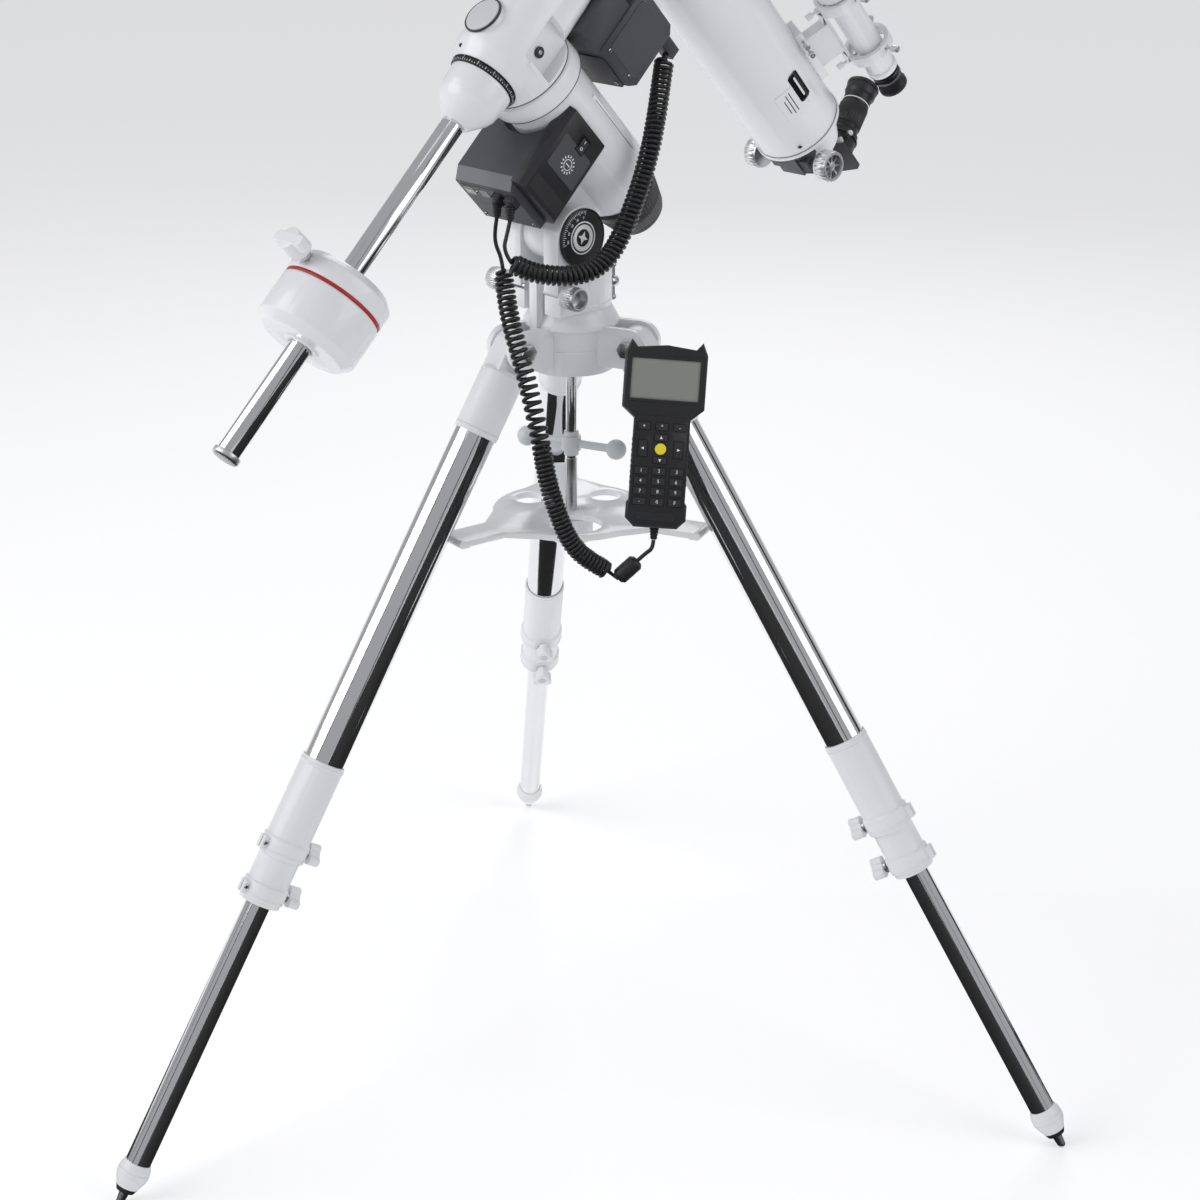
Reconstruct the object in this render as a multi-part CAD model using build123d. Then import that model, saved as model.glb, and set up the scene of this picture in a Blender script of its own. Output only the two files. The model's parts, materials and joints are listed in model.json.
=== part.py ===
from build123d import *
from math import cos, hypot, pi, radians, sin, tan
import os

os.makedirs("parts", exist_ok=True)

# A small refractor telescope on a motorised equatorial mount and a folding tripod.
# Millimetres and degrees. +Z is up, the origin is on the floor at the tripod's axis,
# and -Y is the way the polar axis and the telescope's front point.

# ---- fits -----------------------------------------------------------------------
RUN = 0.05            # radial clearance of a turning or sliding fit
GAP = 0.3             # space between faces that pass each other

# ---- tripod ---------------------------------------------------------------------
LEG_AZIMUTHS = (22.4, 142.4, 262.4)
SPREAD = 31.4         # angle of a leg from the vertical
FOLD = 15.0           # how far the legs fold in with the spreader plate on
PIVOT_X = 66.0        # leg hinge from the tripod's axis
HINGE_Z = 776.0
UPPER_R = 20.0        # upper leg tube
UPPER_WALL = 1.5
LOWER_R = 12.5        # lower leg tube
LOWER_WALL = 1.5
UPPER_TOP = 36.0      # distances down a leg are from its hinge
UPPER_END = 538.0
LOWER_TOP = 400.0
LOWER_END = 877.0
SLEEVE_R = 21.7
SLEEVE_TOP = 434.0
RING_1 = 526.0        # centres of the two clamp rings
RING_2 = 572.0
SLEEVE_END = 584.0
TIP_R = 4.0
STUD_R = 3.0
LUG_HALF = 13.0
LUG_R = 17.0
HINGE_BOLT_R = 5.0
EAR_R = 19.5
EAR_T = 6.6

# ---- hub ------------------------------------------------------------------------
HUB_R = 41.0
HUB_BOTTOM = 748.0
HUB_SHOULDER_R = 46.5
HUB_TOP = 810.0
HUB_TOP_R = 38.7
SPIGOT_R = 15.0
SPIGOT_L = 20.0
PEG_HALF = 5.0        # upright peg that the azimuth screws push on
PEG_Y = (-50.0, -41.0)
PEG_TOP = 840.0

# ---- centre rod, handle, spreader -----------------------------------------------
ROD_R = 5.4
ROD_BOTTOM = 560.0
ROD_TOP = 762.0
HANDLE_Z = 669.0
HANDLE_AZIMUTH = 19.7
HANDLE_REACH = 49.0
HANDLE_BALL_R = 10.0
PLATE_TOP = 600.0
PLATE_T = 6.0
PLATE_R = 78.0
LARGE_HOLE_R = 26.3
LARGE_HOLE_AT = 44.0
SMALL_HOLE_R = 16.2
SMALL_HOLE_AT = 53.0
ARM_TIP_R = 8.0
ARM_TIP_GAP = 2.0
ARM_HALF = 17.0
TENSION_R = 21.0
TENSION_H = 26.0

# ---- mount ----------------------------------------------------------------------
LATITUDE = 46.5
PIVOT_Y = -22.0
PIVOT_Z = 883.5
PIVOT_R = 169.5       # the latitude hinge in the head's own frame, along the polar axis
PIVOT_D = -81.0       # and along the declination axis
BASE_R = HUB_TOP_R
BASE_DECK = 845.0
CHEEK_LEFT = (-31.0, -16.0)
CHEEK_RIGHT = (16.0, 36.0)
CHEEK_R = 29.0
KNUCKLE_HALF = 15.5
KNUCKLE_R = 26.0
LATITUDE_BOLT_R = 6.0
DIAL_R = 27.5
DIAL_T = 3.0
AZIMUTH_KNOB_Z = 832.0
AZIMUTH_KNOB_Y = -46.0
AZIMUTH_KNOB_R = 10.8
AZIMUTH_KNOB_X = (42.0, 60.0)
AZIMUTH_STUD_R = 3.5
LATITUDE_SCREW_Z = 822.0
LATITUDE_SCREW_Y = 56.0
LATITUDE_SCREW_R = 4.0

# ---- polar (right ascension) housing, along r in the head's frame ---------------
POLAR_R = 41.0
POLAR_FRONT = 54.0
POLAR_BACK = 198.0
POLAR_SHAFT_R = 16.0
CAP_END = 251.0
MOTOR_BOX_R = (66.0, 128.0)
MOTOR_BOX_D = (-104.0, -22.0)
MOTOR_BOX_X = (-46.0, 30.0)
COVER_X = (30.0, 46.0)
COVER_D = (-96.0, -8.0)
PLUG_X = (7.0, 25.0)
PLUG_AT_R = 86.0
WIRE_R = 2.0

# ---- declination housing, along d in the head's frame ---------------------------
DEC_R = 40.0
DEC_FRONT = -38.0
DEC_TOP = 105.0
DEC_SHAFT_R = 16.0
SKIRT_R = 47.0
DEC_MOTOR_X = (-38.0, 42.0)
DEC_MOTOR_R = (60.0, 118.0)
DEC_MOTOR_D = (52.0, 126.0)
DEC_PLUG = (30.0, 115.0)
WEIGHT_SHAFT_R = 10.75
WEIGHT_SHAFT_END = -452.0
WEIGHT_R = 49.0
WEIGHT_L = 74.0
WEIGHT_D = -300.0
WEIGHT_KNOB_D = WEIGHT_D + 24.0
WEIGHT_STUD_R = 4.0

# ---- telescope ------------------------------------------------------------------
TUBE_D = 205.0        # tube axis above the crossing of the two mount axes
TUBE_R = 46.0
TUBE_WALL = 1.5
TUBE_FRONT = -330.0
TUBE_BACK = 362.0
SHADE_R = 56.0
SHADE_WALL = 2.0
SHADE_FRONT = -450.0
SADDLE_D = (106.0, 141.0)
DOVETAIL_L = 220.0
DOVETAIL_T = 15.0
DOVETAIL_W = (44.0, 36.0)
RING_AT = 75.0
RING_W = 24.0
RING_T = 5.0
FOCUSER_END = 395.0
DRAW_R = 22.0
DRAW_WALL = 1.5
DRAW_FRONT = 312.0
DRAW_BACK = 406.0
FOCUS_R = 386.0       # focus spindle along the tube
FOCUS_D = 178.0
FOCUS_SPINDLE_R = 3.0
FOCUS_KNOB_R = 15.0
FOCUS_KNOB_X = (40.0, 55.0)
NOSE_R = 15.875       # the 1.25 inch eyepiece standard
DIAGONAL_TURN = -10.5
EYE_AXIS_R = 436.0    # the eyepiece's axis along the tube
FINDER_X = 52.0
FINDER_D = TUBE_D + 89.0
FINDER_R = 15.0
FINDER_FRONT = 232.0
FINDER_BACK = 372.0
FINDER_RINGS = (262.0, 336.0)

# ---- hand controller ------------------------------------------------------------
HANDSET_AT = (144.4, -22.2, 716.3)
HANDSET_RIGHT = (0.6883, 0.7254, 0.0)
HANDSET_FACE = (0.686, -0.651, 0.325)
HANDSET_LEAN = 4.0
HANDSET_HALF_H = 87.0
HANDSET_HALF_T = 14.0
KEY_PROUD = 1.2
KEY_GAP = 0.35
STUD_HALF_W = 4.0
STUD_HEAD_HALF_W = 7.0

# ---- cords: hand-chosen routes --------------------------------------------------
COIL_A_R = 10.0
COIL_B_R = 9.5
COIL_A_ROUTE = [
    (34.0, 88.1, 1033.7), (41.5, 77.0, 1017.0), (50.0, 64.3, 996.4), (60.0, 46.8, 966.5),
    (65.0, 30.3, 936.8), (70.0, 10.0, 907.8), (72.5, -12.0, 878.0), (70.0, -34.0, 861.0),
    (61.0, -57.0, 857.0), (50.0, -76.0, 859.0), (40.0, -93.0, 864.0), (32.0, -106.0, 873.0),
]
LEAD_A_ROUTE = [
    (25.0, -100.5, 910.8), (25.0, -104.5, 898.0), (26.5, -111.0, 884.0), (32.0, -106.0, 873.0),
]
LEAD_B_ROUTE = [
    (7.0, -100.5, 910.8), (5.0, -101.5, 899.0), (4.5, -101.0, 885.0), (8.55, -96.853, 871.5),
    (11.7, -98.1, 861.0),
]
COIL_B_ROUTE = [
    (11.7, -98.1, 861.0), (16.5, -100.0, 845.0), (26.5, -105.0, 826.0), (38.4, -109.2, 806.5),
    (52.2, -112.1, 784.2), (64.6, -114.9, 761.6), (77.8, -118.5, 736.6), (88.8, -121.4, 710.0),
    (98.5, -124.3, 684.9), (109.0, -122.6, 657.5), (118.7, -117.0, 629.8),
    (127.1, -104.3, 609.8), (138.5, -84.8, 595.4),
]
BEAD_START = (147.2, -80.3, 589.0)
BEAD_ALONG = (0.396, 0.648, 0.651)
BEAD_L = 25.3
BEAD_R = 8.0
TAIL_ROUTE = [
    (157.2, -63.9, 605.5), (161.2, -57.4, 612.1), (164.3, -51.3, 616.0), (162.8, -49.11, 623.56),
]

# ---- places ---------------------------------------------------------------------
HEAD = Pos(0, PIVOT_Y, PIVOT_Z) * Rot(-LATITUDE, 0, 0) * Pos(0, -PIVOT_R, -PIVOT_D)
HANDSET = Plane(
    origin=HANDSET_AT, x_dir=HANDSET_RIGHT, z_dir=HANDSET_FACE
).location * Rot(0, 0, -HANDSET_LEAN)
BOTTOM = (Align.CENTER, Align.CENTER, Align.MIN)
MIN3 = (Align.MIN, Align.MIN, Align.MIN)


# ---- small helpers --------------------------------------------------------------
def rod(start, end, radius, end_radius=None):
    """A round bar from start to end, or a cone where the far radius differs."""
    start = Vector(*start)
    run = Vector(*end) - start
    place = Plane(origin=start, z_dir=run)
    if end_radius is None:
        return place * Cylinder(radius, run.length, align=BOTTOM)
    return place * Cone(radius, end_radius, run.length, align=BOTTOM)


def block(x, y, z):
    """A box from its low and high sides."""
    size = Box(x[1] - x[0], y[1] - y[0], z[1] - z[0], align=MIN3)
    return Pos(x[0], y[0], z[0]) * size


def turned(*outline):
    """A solid turned about Z from its (radius, height) corners."""
    face = make_face(Polyline(*[(r, 0, z) for r, z in outline], close=True))
    return revolve(face, Axis.Z)


def pipe(inner, outer, low, high):
    """A round tube along Z."""
    return turned((inner, low), (outer, low), (outer, high), (inner, high))


def along_y(shape):
    """Turns a shape made along Z so that it lies along Y, the polar axis."""
    return Rot(-90, 0, 0) * shape


def along_x(shape):
    """Turns a shape made along Z so that it lies along X."""
    return Rot(0, 90, 0) * shape


def on_tube(shape):
    """Puts a shape turned about Z on the telescope tube's axis."""
    return Pos(0, 0, TUBE_D) * along_y(shape)


def slab(corners, thickness, place):
    """A flat plate from its outline, thickened along its plane's normal."""
    face = make_face(Polyline(*corners, close=True))
    return place * extrude(face, thickness)


def cord(route, radius):
    """A cord's solid: straight runs joined by the largest tangent arcs that fit."""
    points = [Vector(*p) for p in route]
    radii = []
    for before, here, after in zip(points, points[1:], points[2:]):
        first = here - before
        second = after - here
        half_turn = radians(first.get_angle(second)) / 2
        radii.append(0.45 * min(first.length, second.length) / tan(half_turn))
    line = FilletPolyline(*points, radius=radii)
    profile = Plane(origin=line @ 0, z_dir=line % 0) * Circle(radius)
    solid = sweep(profile, path=line)
    expected = pi * radius**2 * line.length
    print("cord radii", [round(r, 1) for r in radii], "length", round(line.length, 1),
          "volume ratio", round(solid.volume / expected, 4))
    return solid


def save(name, *solids, at=None):
    """Writes one sub-part, each of its pieces a separate solid."""
    placed = [solid if at is None else at * solid for solid in solids]
    pieces = [piece for shape in placed for piece in shape.solids()]
    export_step(Compound(children=pieces) if len(pieces) > 1 else pieces[0], f"parts/{name}.step")


def leg_place(azimuth):
    """Where a leg hangs: its own frame has the hinge at the origin and -Z down the leg."""
    return Rot(0, 0, azimuth) * Pos(PIVOT_X, 0, HINGE_Z) * Rot(0, -SPREAD, 0)


# ---- tripod pieces --------------------------------------------------------------
def hub():
    """The tripod's head casting, with three pairs of ears and the azimuth peg."""
    body = turned(
        (0, HUB_BOTTOM), (HUB_R, HUB_BOTTOM), (HUB_R, 790), (HUB_SHOULDER_R, 793),
        (HUB_SHOULDER_R, 796), (HUB_TOP_R, HUB_TOP), (0, HUB_TOP),
    )
    for azimuth in LEG_AZIMUTHS:
        place = Rot(0, 0, azimuth) * Pos(0, 0, HINGE_Z)
        for side in (-1, 1):
            middle = side * (LUG_HALF + 0.4 + EAR_T / 2)
            y = (middle - EAR_T / 2, middle + EAR_T / 2)
            ear = block((HUB_R - 6, PIVOT_X), y, (-EAR_R, EAR_R))
            ear += Pos(PIVOT_X, y[0], 0) * along_y(Cylinder(EAR_R, EAR_T, align=BOTTOM))
            ear -= Pos(PIVOT_X, middle, 0) * along_y(Cylinder(HINGE_BOLT_R, 2 * EAR_T))
            body += place * ear
    body += block((-PEG_HALF, PEG_HALF), PEG_Y, (HUB_TOP - 20, PEG_TOP))
    body -= Pos(0, 0, HUB_TOP) * Cylinder(SPIGOT_R, 2 * (SPIGOT_L + 1))
    body -= Pos(0, 0, HUB_BOTTOM) * Cylinder(ROD_R + RUN, 2 * (ROD_TOP + 1 - HUB_BOTTOM))
    return body


def hinge_bolts():
    """A bolt with a hexagon head and a nut through each pair of ears."""
    reach = LUG_HALF + 0.4 + EAR_T
    bolts = []
    for azimuth in LEG_AZIMUTHS:
        place = Rot(0, 0, azimuth) * Pos(PIVOT_X, 0, HINGE_Z)
        shank = along_y(Cylinder(HINGE_BOLT_R, 2 * reach))
        head = extrude(RegularPolygon(8.5, 6), 5)
        bolt = shank + Pos(0, reach, 0) * along_y(head)
        bolt += Pos(0, -reach - 5, 0) * along_y(head)
        bolts.append(place * bolt)
    return bolts


def leg_top():
    """White casting with the hinge lug, over the top of the upper tube."""
    top = turned((0, -24), (UPPER_R - 2, -24), (SLEEVE_R, -28), (SLEEVE_R, -90), (0, -90))
    top -= Pos(0, 0, -90) * Cylinder(UPPER_R + RUN, 2 * (90 - UPPER_TOP))
    lug = block((-LUG_R, LUG_R), (-LUG_HALF, LUG_HALF), (-26, 0))
    lug += along_y(Cylinder(LUG_R, 2 * LUG_HALF))
    lug -= along_y(Cylinder(HINGE_BOLT_R + RUN, 3 * LUG_HALF))
    return top + lug


def leg_tube():
    """Chromed upper tube."""
    return pipe(UPPER_R - UPPER_WALL, UPPER_R, -UPPER_END, -UPPER_TOP)


def leg_sleeve():
    """White clamp sleeve at the foot of the upper tube, with a hole for each clamp stud."""
    sleeve = turned(
        (UPPER_R + RUN, -SLEEVE_TOP), (SLEEVE_R, -SLEEVE_TOP), (SLEEVE_R, -RING_1 + 10),
        (23.5, -RING_1 + 8), (23.5, -RING_1 - 8), (20.4, -RING_1 - 10),
        (20.4, -RING_2 + 9), (22.4, -RING_2 + 8), (22.4, -RING_2 - 7),
        (20.5, -RING_2 - 8), (20.5, -SLEEVE_END), (LOWER_R + RUN, -SLEEVE_END),
        (LOWER_R + RUN, -UPPER_END - RUN), (UPPER_R + RUN, -UPPER_END - RUN),
    )
    for ring in (RING_1, RING_2):
        sleeve -= rod((-30, 0, -ring), (-5, 0, -ring), STUD_R + RUN)
    return sleeve


def leg_lower():
    """Lower tube with its guide bush, foot cup and steel tip."""
    tube = pipe(LOWER_R - LOWER_WALL, LOWER_R, -LOWER_END, -LOWER_TOP)
    bush = pipe(LOWER_R, UPPER_R - UPPER_WALL - RUN, -LOWER_TOP - 15, -LOWER_TOP)
    tip_at = -(HINGE_Z - TIP_R) / cos(radians(SPREAD))
    cup = turned(
        (LOWER_R, -862), (13.2, -862), (15.5, -868), (15.5, -878), (9, -893), (5, -893),
        (5, -894), (TIP_R, tip_at), (0, tip_at), (0, -LOWER_END), (LOWER_R, -LOWER_END),
    )
    cup += Pos(0, 0, tip_at) * Sphere(TIP_R)
    return tube, bush, cup


def clamp_knob(ring, stud_end):
    """Three-lobed knob whose stud passes through the sleeve."""
    knob = rod((-27, 0, 0), (-39, 0, 0), 7.5)
    for step in range(3):
        turn = Rot(120 * step, 0, 0)
        knob += turn * rod((-27, 0, 7), (-39, 0, 7), 5)
    knob += rod((-24.5, 0, 0), (-27, 0, 0), 6)
    knob += rod((stud_end, 0, 0), (-27, 0, 0), STUD_R)
    return Pos(0, 0, -ring) * knob


def centre_rod():
    """Chromed rod from the hub, threaded below, through the spreader plate."""
    return turned((0, ROD_BOTTOM), (ROD_R, ROD_BOTTOM), (ROD_R, ROD_TOP), (0, ROD_TOP))


def tee_handle():
    """Cross handle with two balls, between two collars on the rod."""
    bar = rod((-HANDLE_REACH, 0, 0), (HANDLE_REACH, 0, 0), 4)
    for side in (-1, 1):
        bar += Pos(side * HANDLE_REACH, 0, 0) * Sphere(HANDLE_BALL_R)
    bar += Cylinder(9.5, 14)
    bar = Pos(0, 0, HANDLE_Z) * Rot(0, 0, HANDLE_AZIMUTH) * bar
    for middle in (HANDLE_Z + 9.5, HANDLE_Z - 9.5):
        bar += Pos(0, 0, middle) * Cylinder(7.3, 5)
    return bar - Pos(0, 0, HANDLE_Z) * Cylinder(ROD_R, 40)


def arm_reach():
    """How far an arm's rounded tip stands from the tripod's axis."""
    leg_at = PIVOT_X + (HINGE_Z - PLATE_TOP) * tan(radians(SPREAD))
    return leg_at - UPPER_R / cos(radians(SPREAD)) - ARM_TIP_GAP - ARM_TIP_R


def spreader_plate():
    """Tray that braces the legs, with one large and two small holes."""
    plate = Cylinder(PLATE_R, PLATE_T)
    reach = arm_reach()
    for azimuth in LEG_AZIMUTHS:
        arm = block((0, reach - 6), (-ARM_HALF, ARM_HALF), (-PLATE_T / 2, PLATE_T / 2))
        flare = make_face(Polyline(
            (PLATE_R - 30, -58), (PLATE_R + 14, -ARM_HALF), (PLATE_R + 14, ARM_HALF),
            (PLATE_R - 30, 58), close=True,
        ))
        arm += Pos(0, 0, -PLATE_T / 2) * extrude(flare, PLATE_T)
        arm += Pos(reach, 0, 0) * Rot(90, 0, 0) * Cylinder(ARM_TIP_R / 2, 2 * ARM_HALF)
        arm += block((reach - 8, reach), (-ARM_HALF, ARM_HALF), (-ARM_TIP_R / 2, PLATE_T / 2))
        plate += Rot(0, 0, azimuth) * arm
    across = LEG_AZIMUTHS[1] + 180
    plate -= Rot(0, 0, across) * Pos(LARGE_HOLE_AT, 0, 0) * Cylinder(LARGE_HOLE_R, 30)
    for side in (-46, 46):
        turn = Rot(0, 0, LEG_AZIMUTHS[1] + side)
        plate -= turn * Pos(SMALL_HOLE_AT, 0, 0) * Cylinder(SMALL_HOLE_R, 30)
    plate -= Cylinder(ROD_R + RUN, 30)
    return Pos(0, 0, PLATE_TOP - PLATE_T / 2) * plate


def tension_knob():
    """Knurled nut under the plate, threaded on the rod."""
    high = PLATE_TOP - PLATE_T - GAP
    low = high - TENSION_H
    return turned(
        (ROD_R + RUN, low), (TENSION_R - 3, low), (TENSION_R, low + 3), (TENSION_R, high - 3),
        (TENSION_R - 1.5, high), (ROD_R + RUN, high),
    )


# ---- mount: azimuth base --------------------------------------------------------
def mount_base():
    """Base that turns on the hub, with two cheeks that hold the head."""
    base = turned(
        (0, HUB_TOP + GAP), (BASE_R, HUB_TOP + GAP), (BASE_R, BASE_DECK), (0, BASE_DECK),
    )
    front = (PIVOT_Y - CHEEK_R + 3, 0)
    base += block((CHEEK_LEFT[0], CHEEK_RIGHT[1]), front, (HUB_TOP + GAP, BASE_DECK))
    for low, high in (CHEEK_LEFT, CHEEK_RIGHT):
        span = (PIVOT_Y - CHEEK_R, PIVOT_Y + CHEEK_R)
        base += block((low, high), span, (BASE_DECK - 12, PIVOT_Z))
        base += Pos(low, PIVOT_Y, PIVOT_Z) * along_x(
            Cylinder(CHEEK_R, high - low, align=BOTTOM))
    slot_y = (PIVOT_Y - CHEEK_R - 5, PEG_Y[1] + 2.5)
    base -= block((CHEEK_LEFT[1] + 2, CHEEK_RIGHT[0] - 2), slot_y, (HUB_TOP, BASE_DECK + 1))
    base -= Pos(0, PIVOT_Y, PIVOT_Z) * along_x(Cylinder(LATITUDE_BOLT_R, 200))
    base -= rod((-70, AZIMUTH_KNOB_Y, AZIMUTH_KNOB_Z), (70, AZIMUTH_KNOB_Y, AZIMUTH_KNOB_Z),
                AZIMUTH_STUD_R + RUN)
    base -= rod((0, 0, LATITUDE_SCREW_Z), (0, 60, LATITUDE_SCREW_Z), LATITUDE_SCREW_R + RUN)
    base += Pos(0, 0, HUB_TOP - SPIGOT_L) * Cylinder(SPIGOT_R - RUN, SPIGOT_L + 1, align=BOTTOM)
    bolt = rod((CHEEK_LEFT[0], PIVOT_Y, PIVOT_Z), (CHEEK_RIGHT[1], PIVOT_Y, PIVOT_Z),
               LATITUDE_BOLT_R)
    return base, bolt


def latitude_dial():
    """Black dial on the right cheek."""
    dial = turned((0, 0), (DIAL_R, 0), (DIAL_R, DIAL_T - 1), (DIAL_R - 1, DIAL_T), (0, DIAL_T))
    return Pos(CHEEK_RIGHT[1], PIVOT_Y, PIVOT_Z) * along_x(dial)


def azimuth_knobs():
    """Two knurled screws on one line that push the peg from both sides."""
    near, far = AZIMUTH_KNOB_X
    knobs = []
    for side in (-1, 1):
        knob = turned(
            (0, PEG_HALF + 8), (AZIMUTH_STUD_R, PEG_HALF + 8), (AZIMUTH_STUD_R, near - 3),
            (6, near - 3), (6, near), (AZIMUTH_KNOB_R, near), (AZIMUTH_KNOB_R, far),
            (8.5, far), (8.5, far - 9), (0, far - 9),
        )
        place = Pos(0, AZIMUTH_KNOB_Y, AZIMUTH_KNOB_Z)
        knobs.append(place * Rot(0, 90 * side, 0) * knob)
    return knobs


def latitude_screw():
    """Screw with a tommy bar at the back of the base."""
    z = LATITUDE_SCREW_Z
    screw = rod((0, 20, z), (0, LATITUDE_SCREW_Y, z), LATITUDE_SCREW_R)
    screw += rod((0, LATITUDE_SCREW_Y - 5, z), (0, LATITUDE_SCREW_Y + 3, z), 5.5)
    screw += rod((0, LATITUDE_SCREW_Y, z - 16), (0, LATITUDE_SCREW_Y, z + 16), 2)
    for side in (-16, 16):
        screw += Pos(0, LATITUDE_SCREW_Y, z + side) * Sphere(3.2)
    return screw


# ---- mount: polar housing (head frame: Y along the polar axis, Z along declination) --
def ra_housing():
    """Polar-axis housing with its neck and the knuckle of the latitude hinge."""
    body = along_y(turned(
        (0, POLAR_FRONT), (POLAR_R, POLAR_FRONT), (POLAR_R, POLAR_BACK), (33, 208), (0, 208),
    ))
    body += block((KNUCKLE_HALF, POLAR_R - 3), (85, 164), (-14, 20))
    body += block((-KNUCKLE_HALF, KNUCKLE_HALF), (PIVOT_R - 25, PIVOT_R + 22), (PIVOT_D, -30))
    body += Pos(0, PIVOT_R, PIVOT_D) * along_x(Cylinder(KNUCKLE_R, 2 * KNUCKLE_HALF))
    body -= Pos(0, PIVOT_R, PIVOT_D) * along_x(Cylinder(LATITUDE_BOLT_R + RUN, 60))
    body -= along_y(Pos(0, 0, POLAR_FRONT - 1) * Cylinder(POLAR_SHAFT_R + RUN, 100, align=BOTTOM))
    return body


def ra_end_cap():
    """Black cap over the polar axis's lower end."""
    return along_y(turned(
        (0, 208), (33, 208), (36, 210), (35, 216), (26, CAP_END - 3), (23, CAP_END),
        (0, CAP_END),
    ))


def motor_box():
    """Polar drive's box under the housing, with its side cover and port plugs."""
    box = block(MOTOR_BOX_X, MOTOR_BOX_R, MOTOR_BOX_D)
    low, high = MOTOR_BOX_R
    front = slab(
        [(low - 1, MOTOR_BOX_D[0] - 1), (low + 9, MOTOR_BOX_D[0] - 1),
         (low - 1, MOTOR_BOX_D[0] + 14)],
        120, Plane(origin=(-60, 0, 0), x_dir=(0, 1, 0), z_dir=(1, 0, 0)),
    )
    box -= front
    box -= along_y(Pos(0, 0, low - 1) * Cylinder(SKIRT_R - 0.5, 11, align=BOTTOM))
    cover = block(COVER_X, MOTOR_BOX_R, COVER_D)
    cover = chamfer(cover.edges().filter_by(Axis.Z).sort_by(Axis.X)[-2:], 5)
    around = along_y(Pos(0, 0, low - 5) * Cylinder(POLAR_R, high - low + 10, align=BOTTOM))
    strip = block((KNUCKLE_HALF, POLAR_R - 3), (85, 164), (-14, 20))
    box = box - around - strip
    cover = cover - around - strip
    cover -= switch_pocket(GAP)
    plugs = []
    for x in PLUG_X:
        corner = (x, PLUG_AT_R, MOTOR_BOX_D[0] - 6)
        down = Vector(0, sin(radians(LATITUDE)), -cos(radians(LATITUDE)))
        end = Vector(*corner) + down * 14
        plug = rod((x, PLUG_AT_R, MOTOR_BOX_D[0]), corner, 4.5) + Pos(*corner) * Sphere(4.5)
        plug += rod(corner, tuple(end), 4.5, 3)
        plugs.append(plug)
    return box, cover, *plugs


def switch_pocket(margin):
    """The space that the power switch fills, larger by a margin."""
    return block((COVER_X[1] - 5 - margin, COVER_X[1] + 6), (95 - margin, 105 + margin),
                 (-33 - margin, -19 + margin))


def power_switch():
    """Rocker on the side cover."""
    rocker = block((COVER_X[1] - 4, COVER_X[1] + 1.5), (95.6, 104.4), (-32, -20))
    return rocker + rod((COVER_X[1] - 1.5, 95.4, -26), (COVER_X[1] - 1.5, 104.6, -26), 1.4)


# ---- mount: declination housing -------------------------------------------------
def dec_housing():
    """Declination housing and polar drum in one casting, with its front boss and shaft."""
    body = turned(
        (0, DEC_FRONT), (33, DEC_FRONT), (DEC_R, -22), (DEC_R, 70), (38, DEC_TOP),
        (0, DEC_TOP),
    )
    body += along_y(turned(
        (0, 0), (44, 0), (44, 33), (43, 34), (46, 36), (SKIRT_R, 44), (SKIRT_R, 50),
        (SKIRT_R - 1, POLAR_FRONT - 1), (0, POLAR_FRONT - 1),
    ))
    body += along_y(turned((0, -40), (17.5, -40), (19, -37), (19, 0), (0, 0)))
    body += along_y(turned((0, 50), (POLAR_SHAFT_R, 50), (POLAR_SHAFT_R, 150), (0, 150)))
    body -= Pos(0, 0, DEC_FRONT) * Rot(180, 0, 0) * Cylinder(34, 30, align=BOTTOM)
    body -= block((29, 60), (-8, 30), (-12, 34))
    body -= Cylinder(DEC_SHAFT_R + RUN, 400)
    disc = along_y(turned((0, -42.5), (16.5, -42.5), (17.5, -41.5), (17.5, -40), (0, -40)))
    return body, disc


def dec_motor_cover():
    """Dark cover of the declination drive, in two steps."""
    cover = block((DEC_MOTOR_X[0] + 1, DEC_MOTOR_X[1] - 3), (30, DEC_MOTOR_R[0] + 1), (48, 104))
    outer = block(DEC_MOTOR_X, DEC_MOTOR_R, DEC_MOTOR_D)
    outer = chamfer(outer.edges().filter_by(Axis.X).sort_by(Axis.Y)[-2:], 7)
    cover += outer
    cover -= Pos(0, 0, 20) * Cylinder(DEC_R, 300)
    return cover


def shaft_cone():
    """Cone that joins the declination axis to the weight shaft, with the setting circle."""
    cone = turned(
        (0, -90), (WEIGHT_SHAFT_R + 2, -90), (26, -73), (28.6, -68), (30, -60), (31, -44.2),
        (DEC_SHAFT_R, -44.2), (DEC_SHAFT_R, DEC_TOP + 1), (0, DEC_TOP + 1),
    )
    circle = turned((DEC_SHAFT_R, -44), (31.5, -44), (32.5, -43), (32.5, -38.6), (DEC_SHAFT_R, -38.6))
    return cone, circle


def weight_shaft():
    """Chromed shaft with the toe saver on its end."""
    shaft = turned(
        (0, WEIGHT_SHAFT_END), (WEIGHT_SHAFT_R, WEIGHT_SHAFT_END), (WEIGHT_SHAFT_R, -90), (0, -90),
    )
    low = WEIGHT_SHAFT_END - 6
    saver = turned((0, low), (11.5, low), (13, low + 1.5), (13, low + 6), (0, low + 6))
    return shaft, saver


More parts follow.
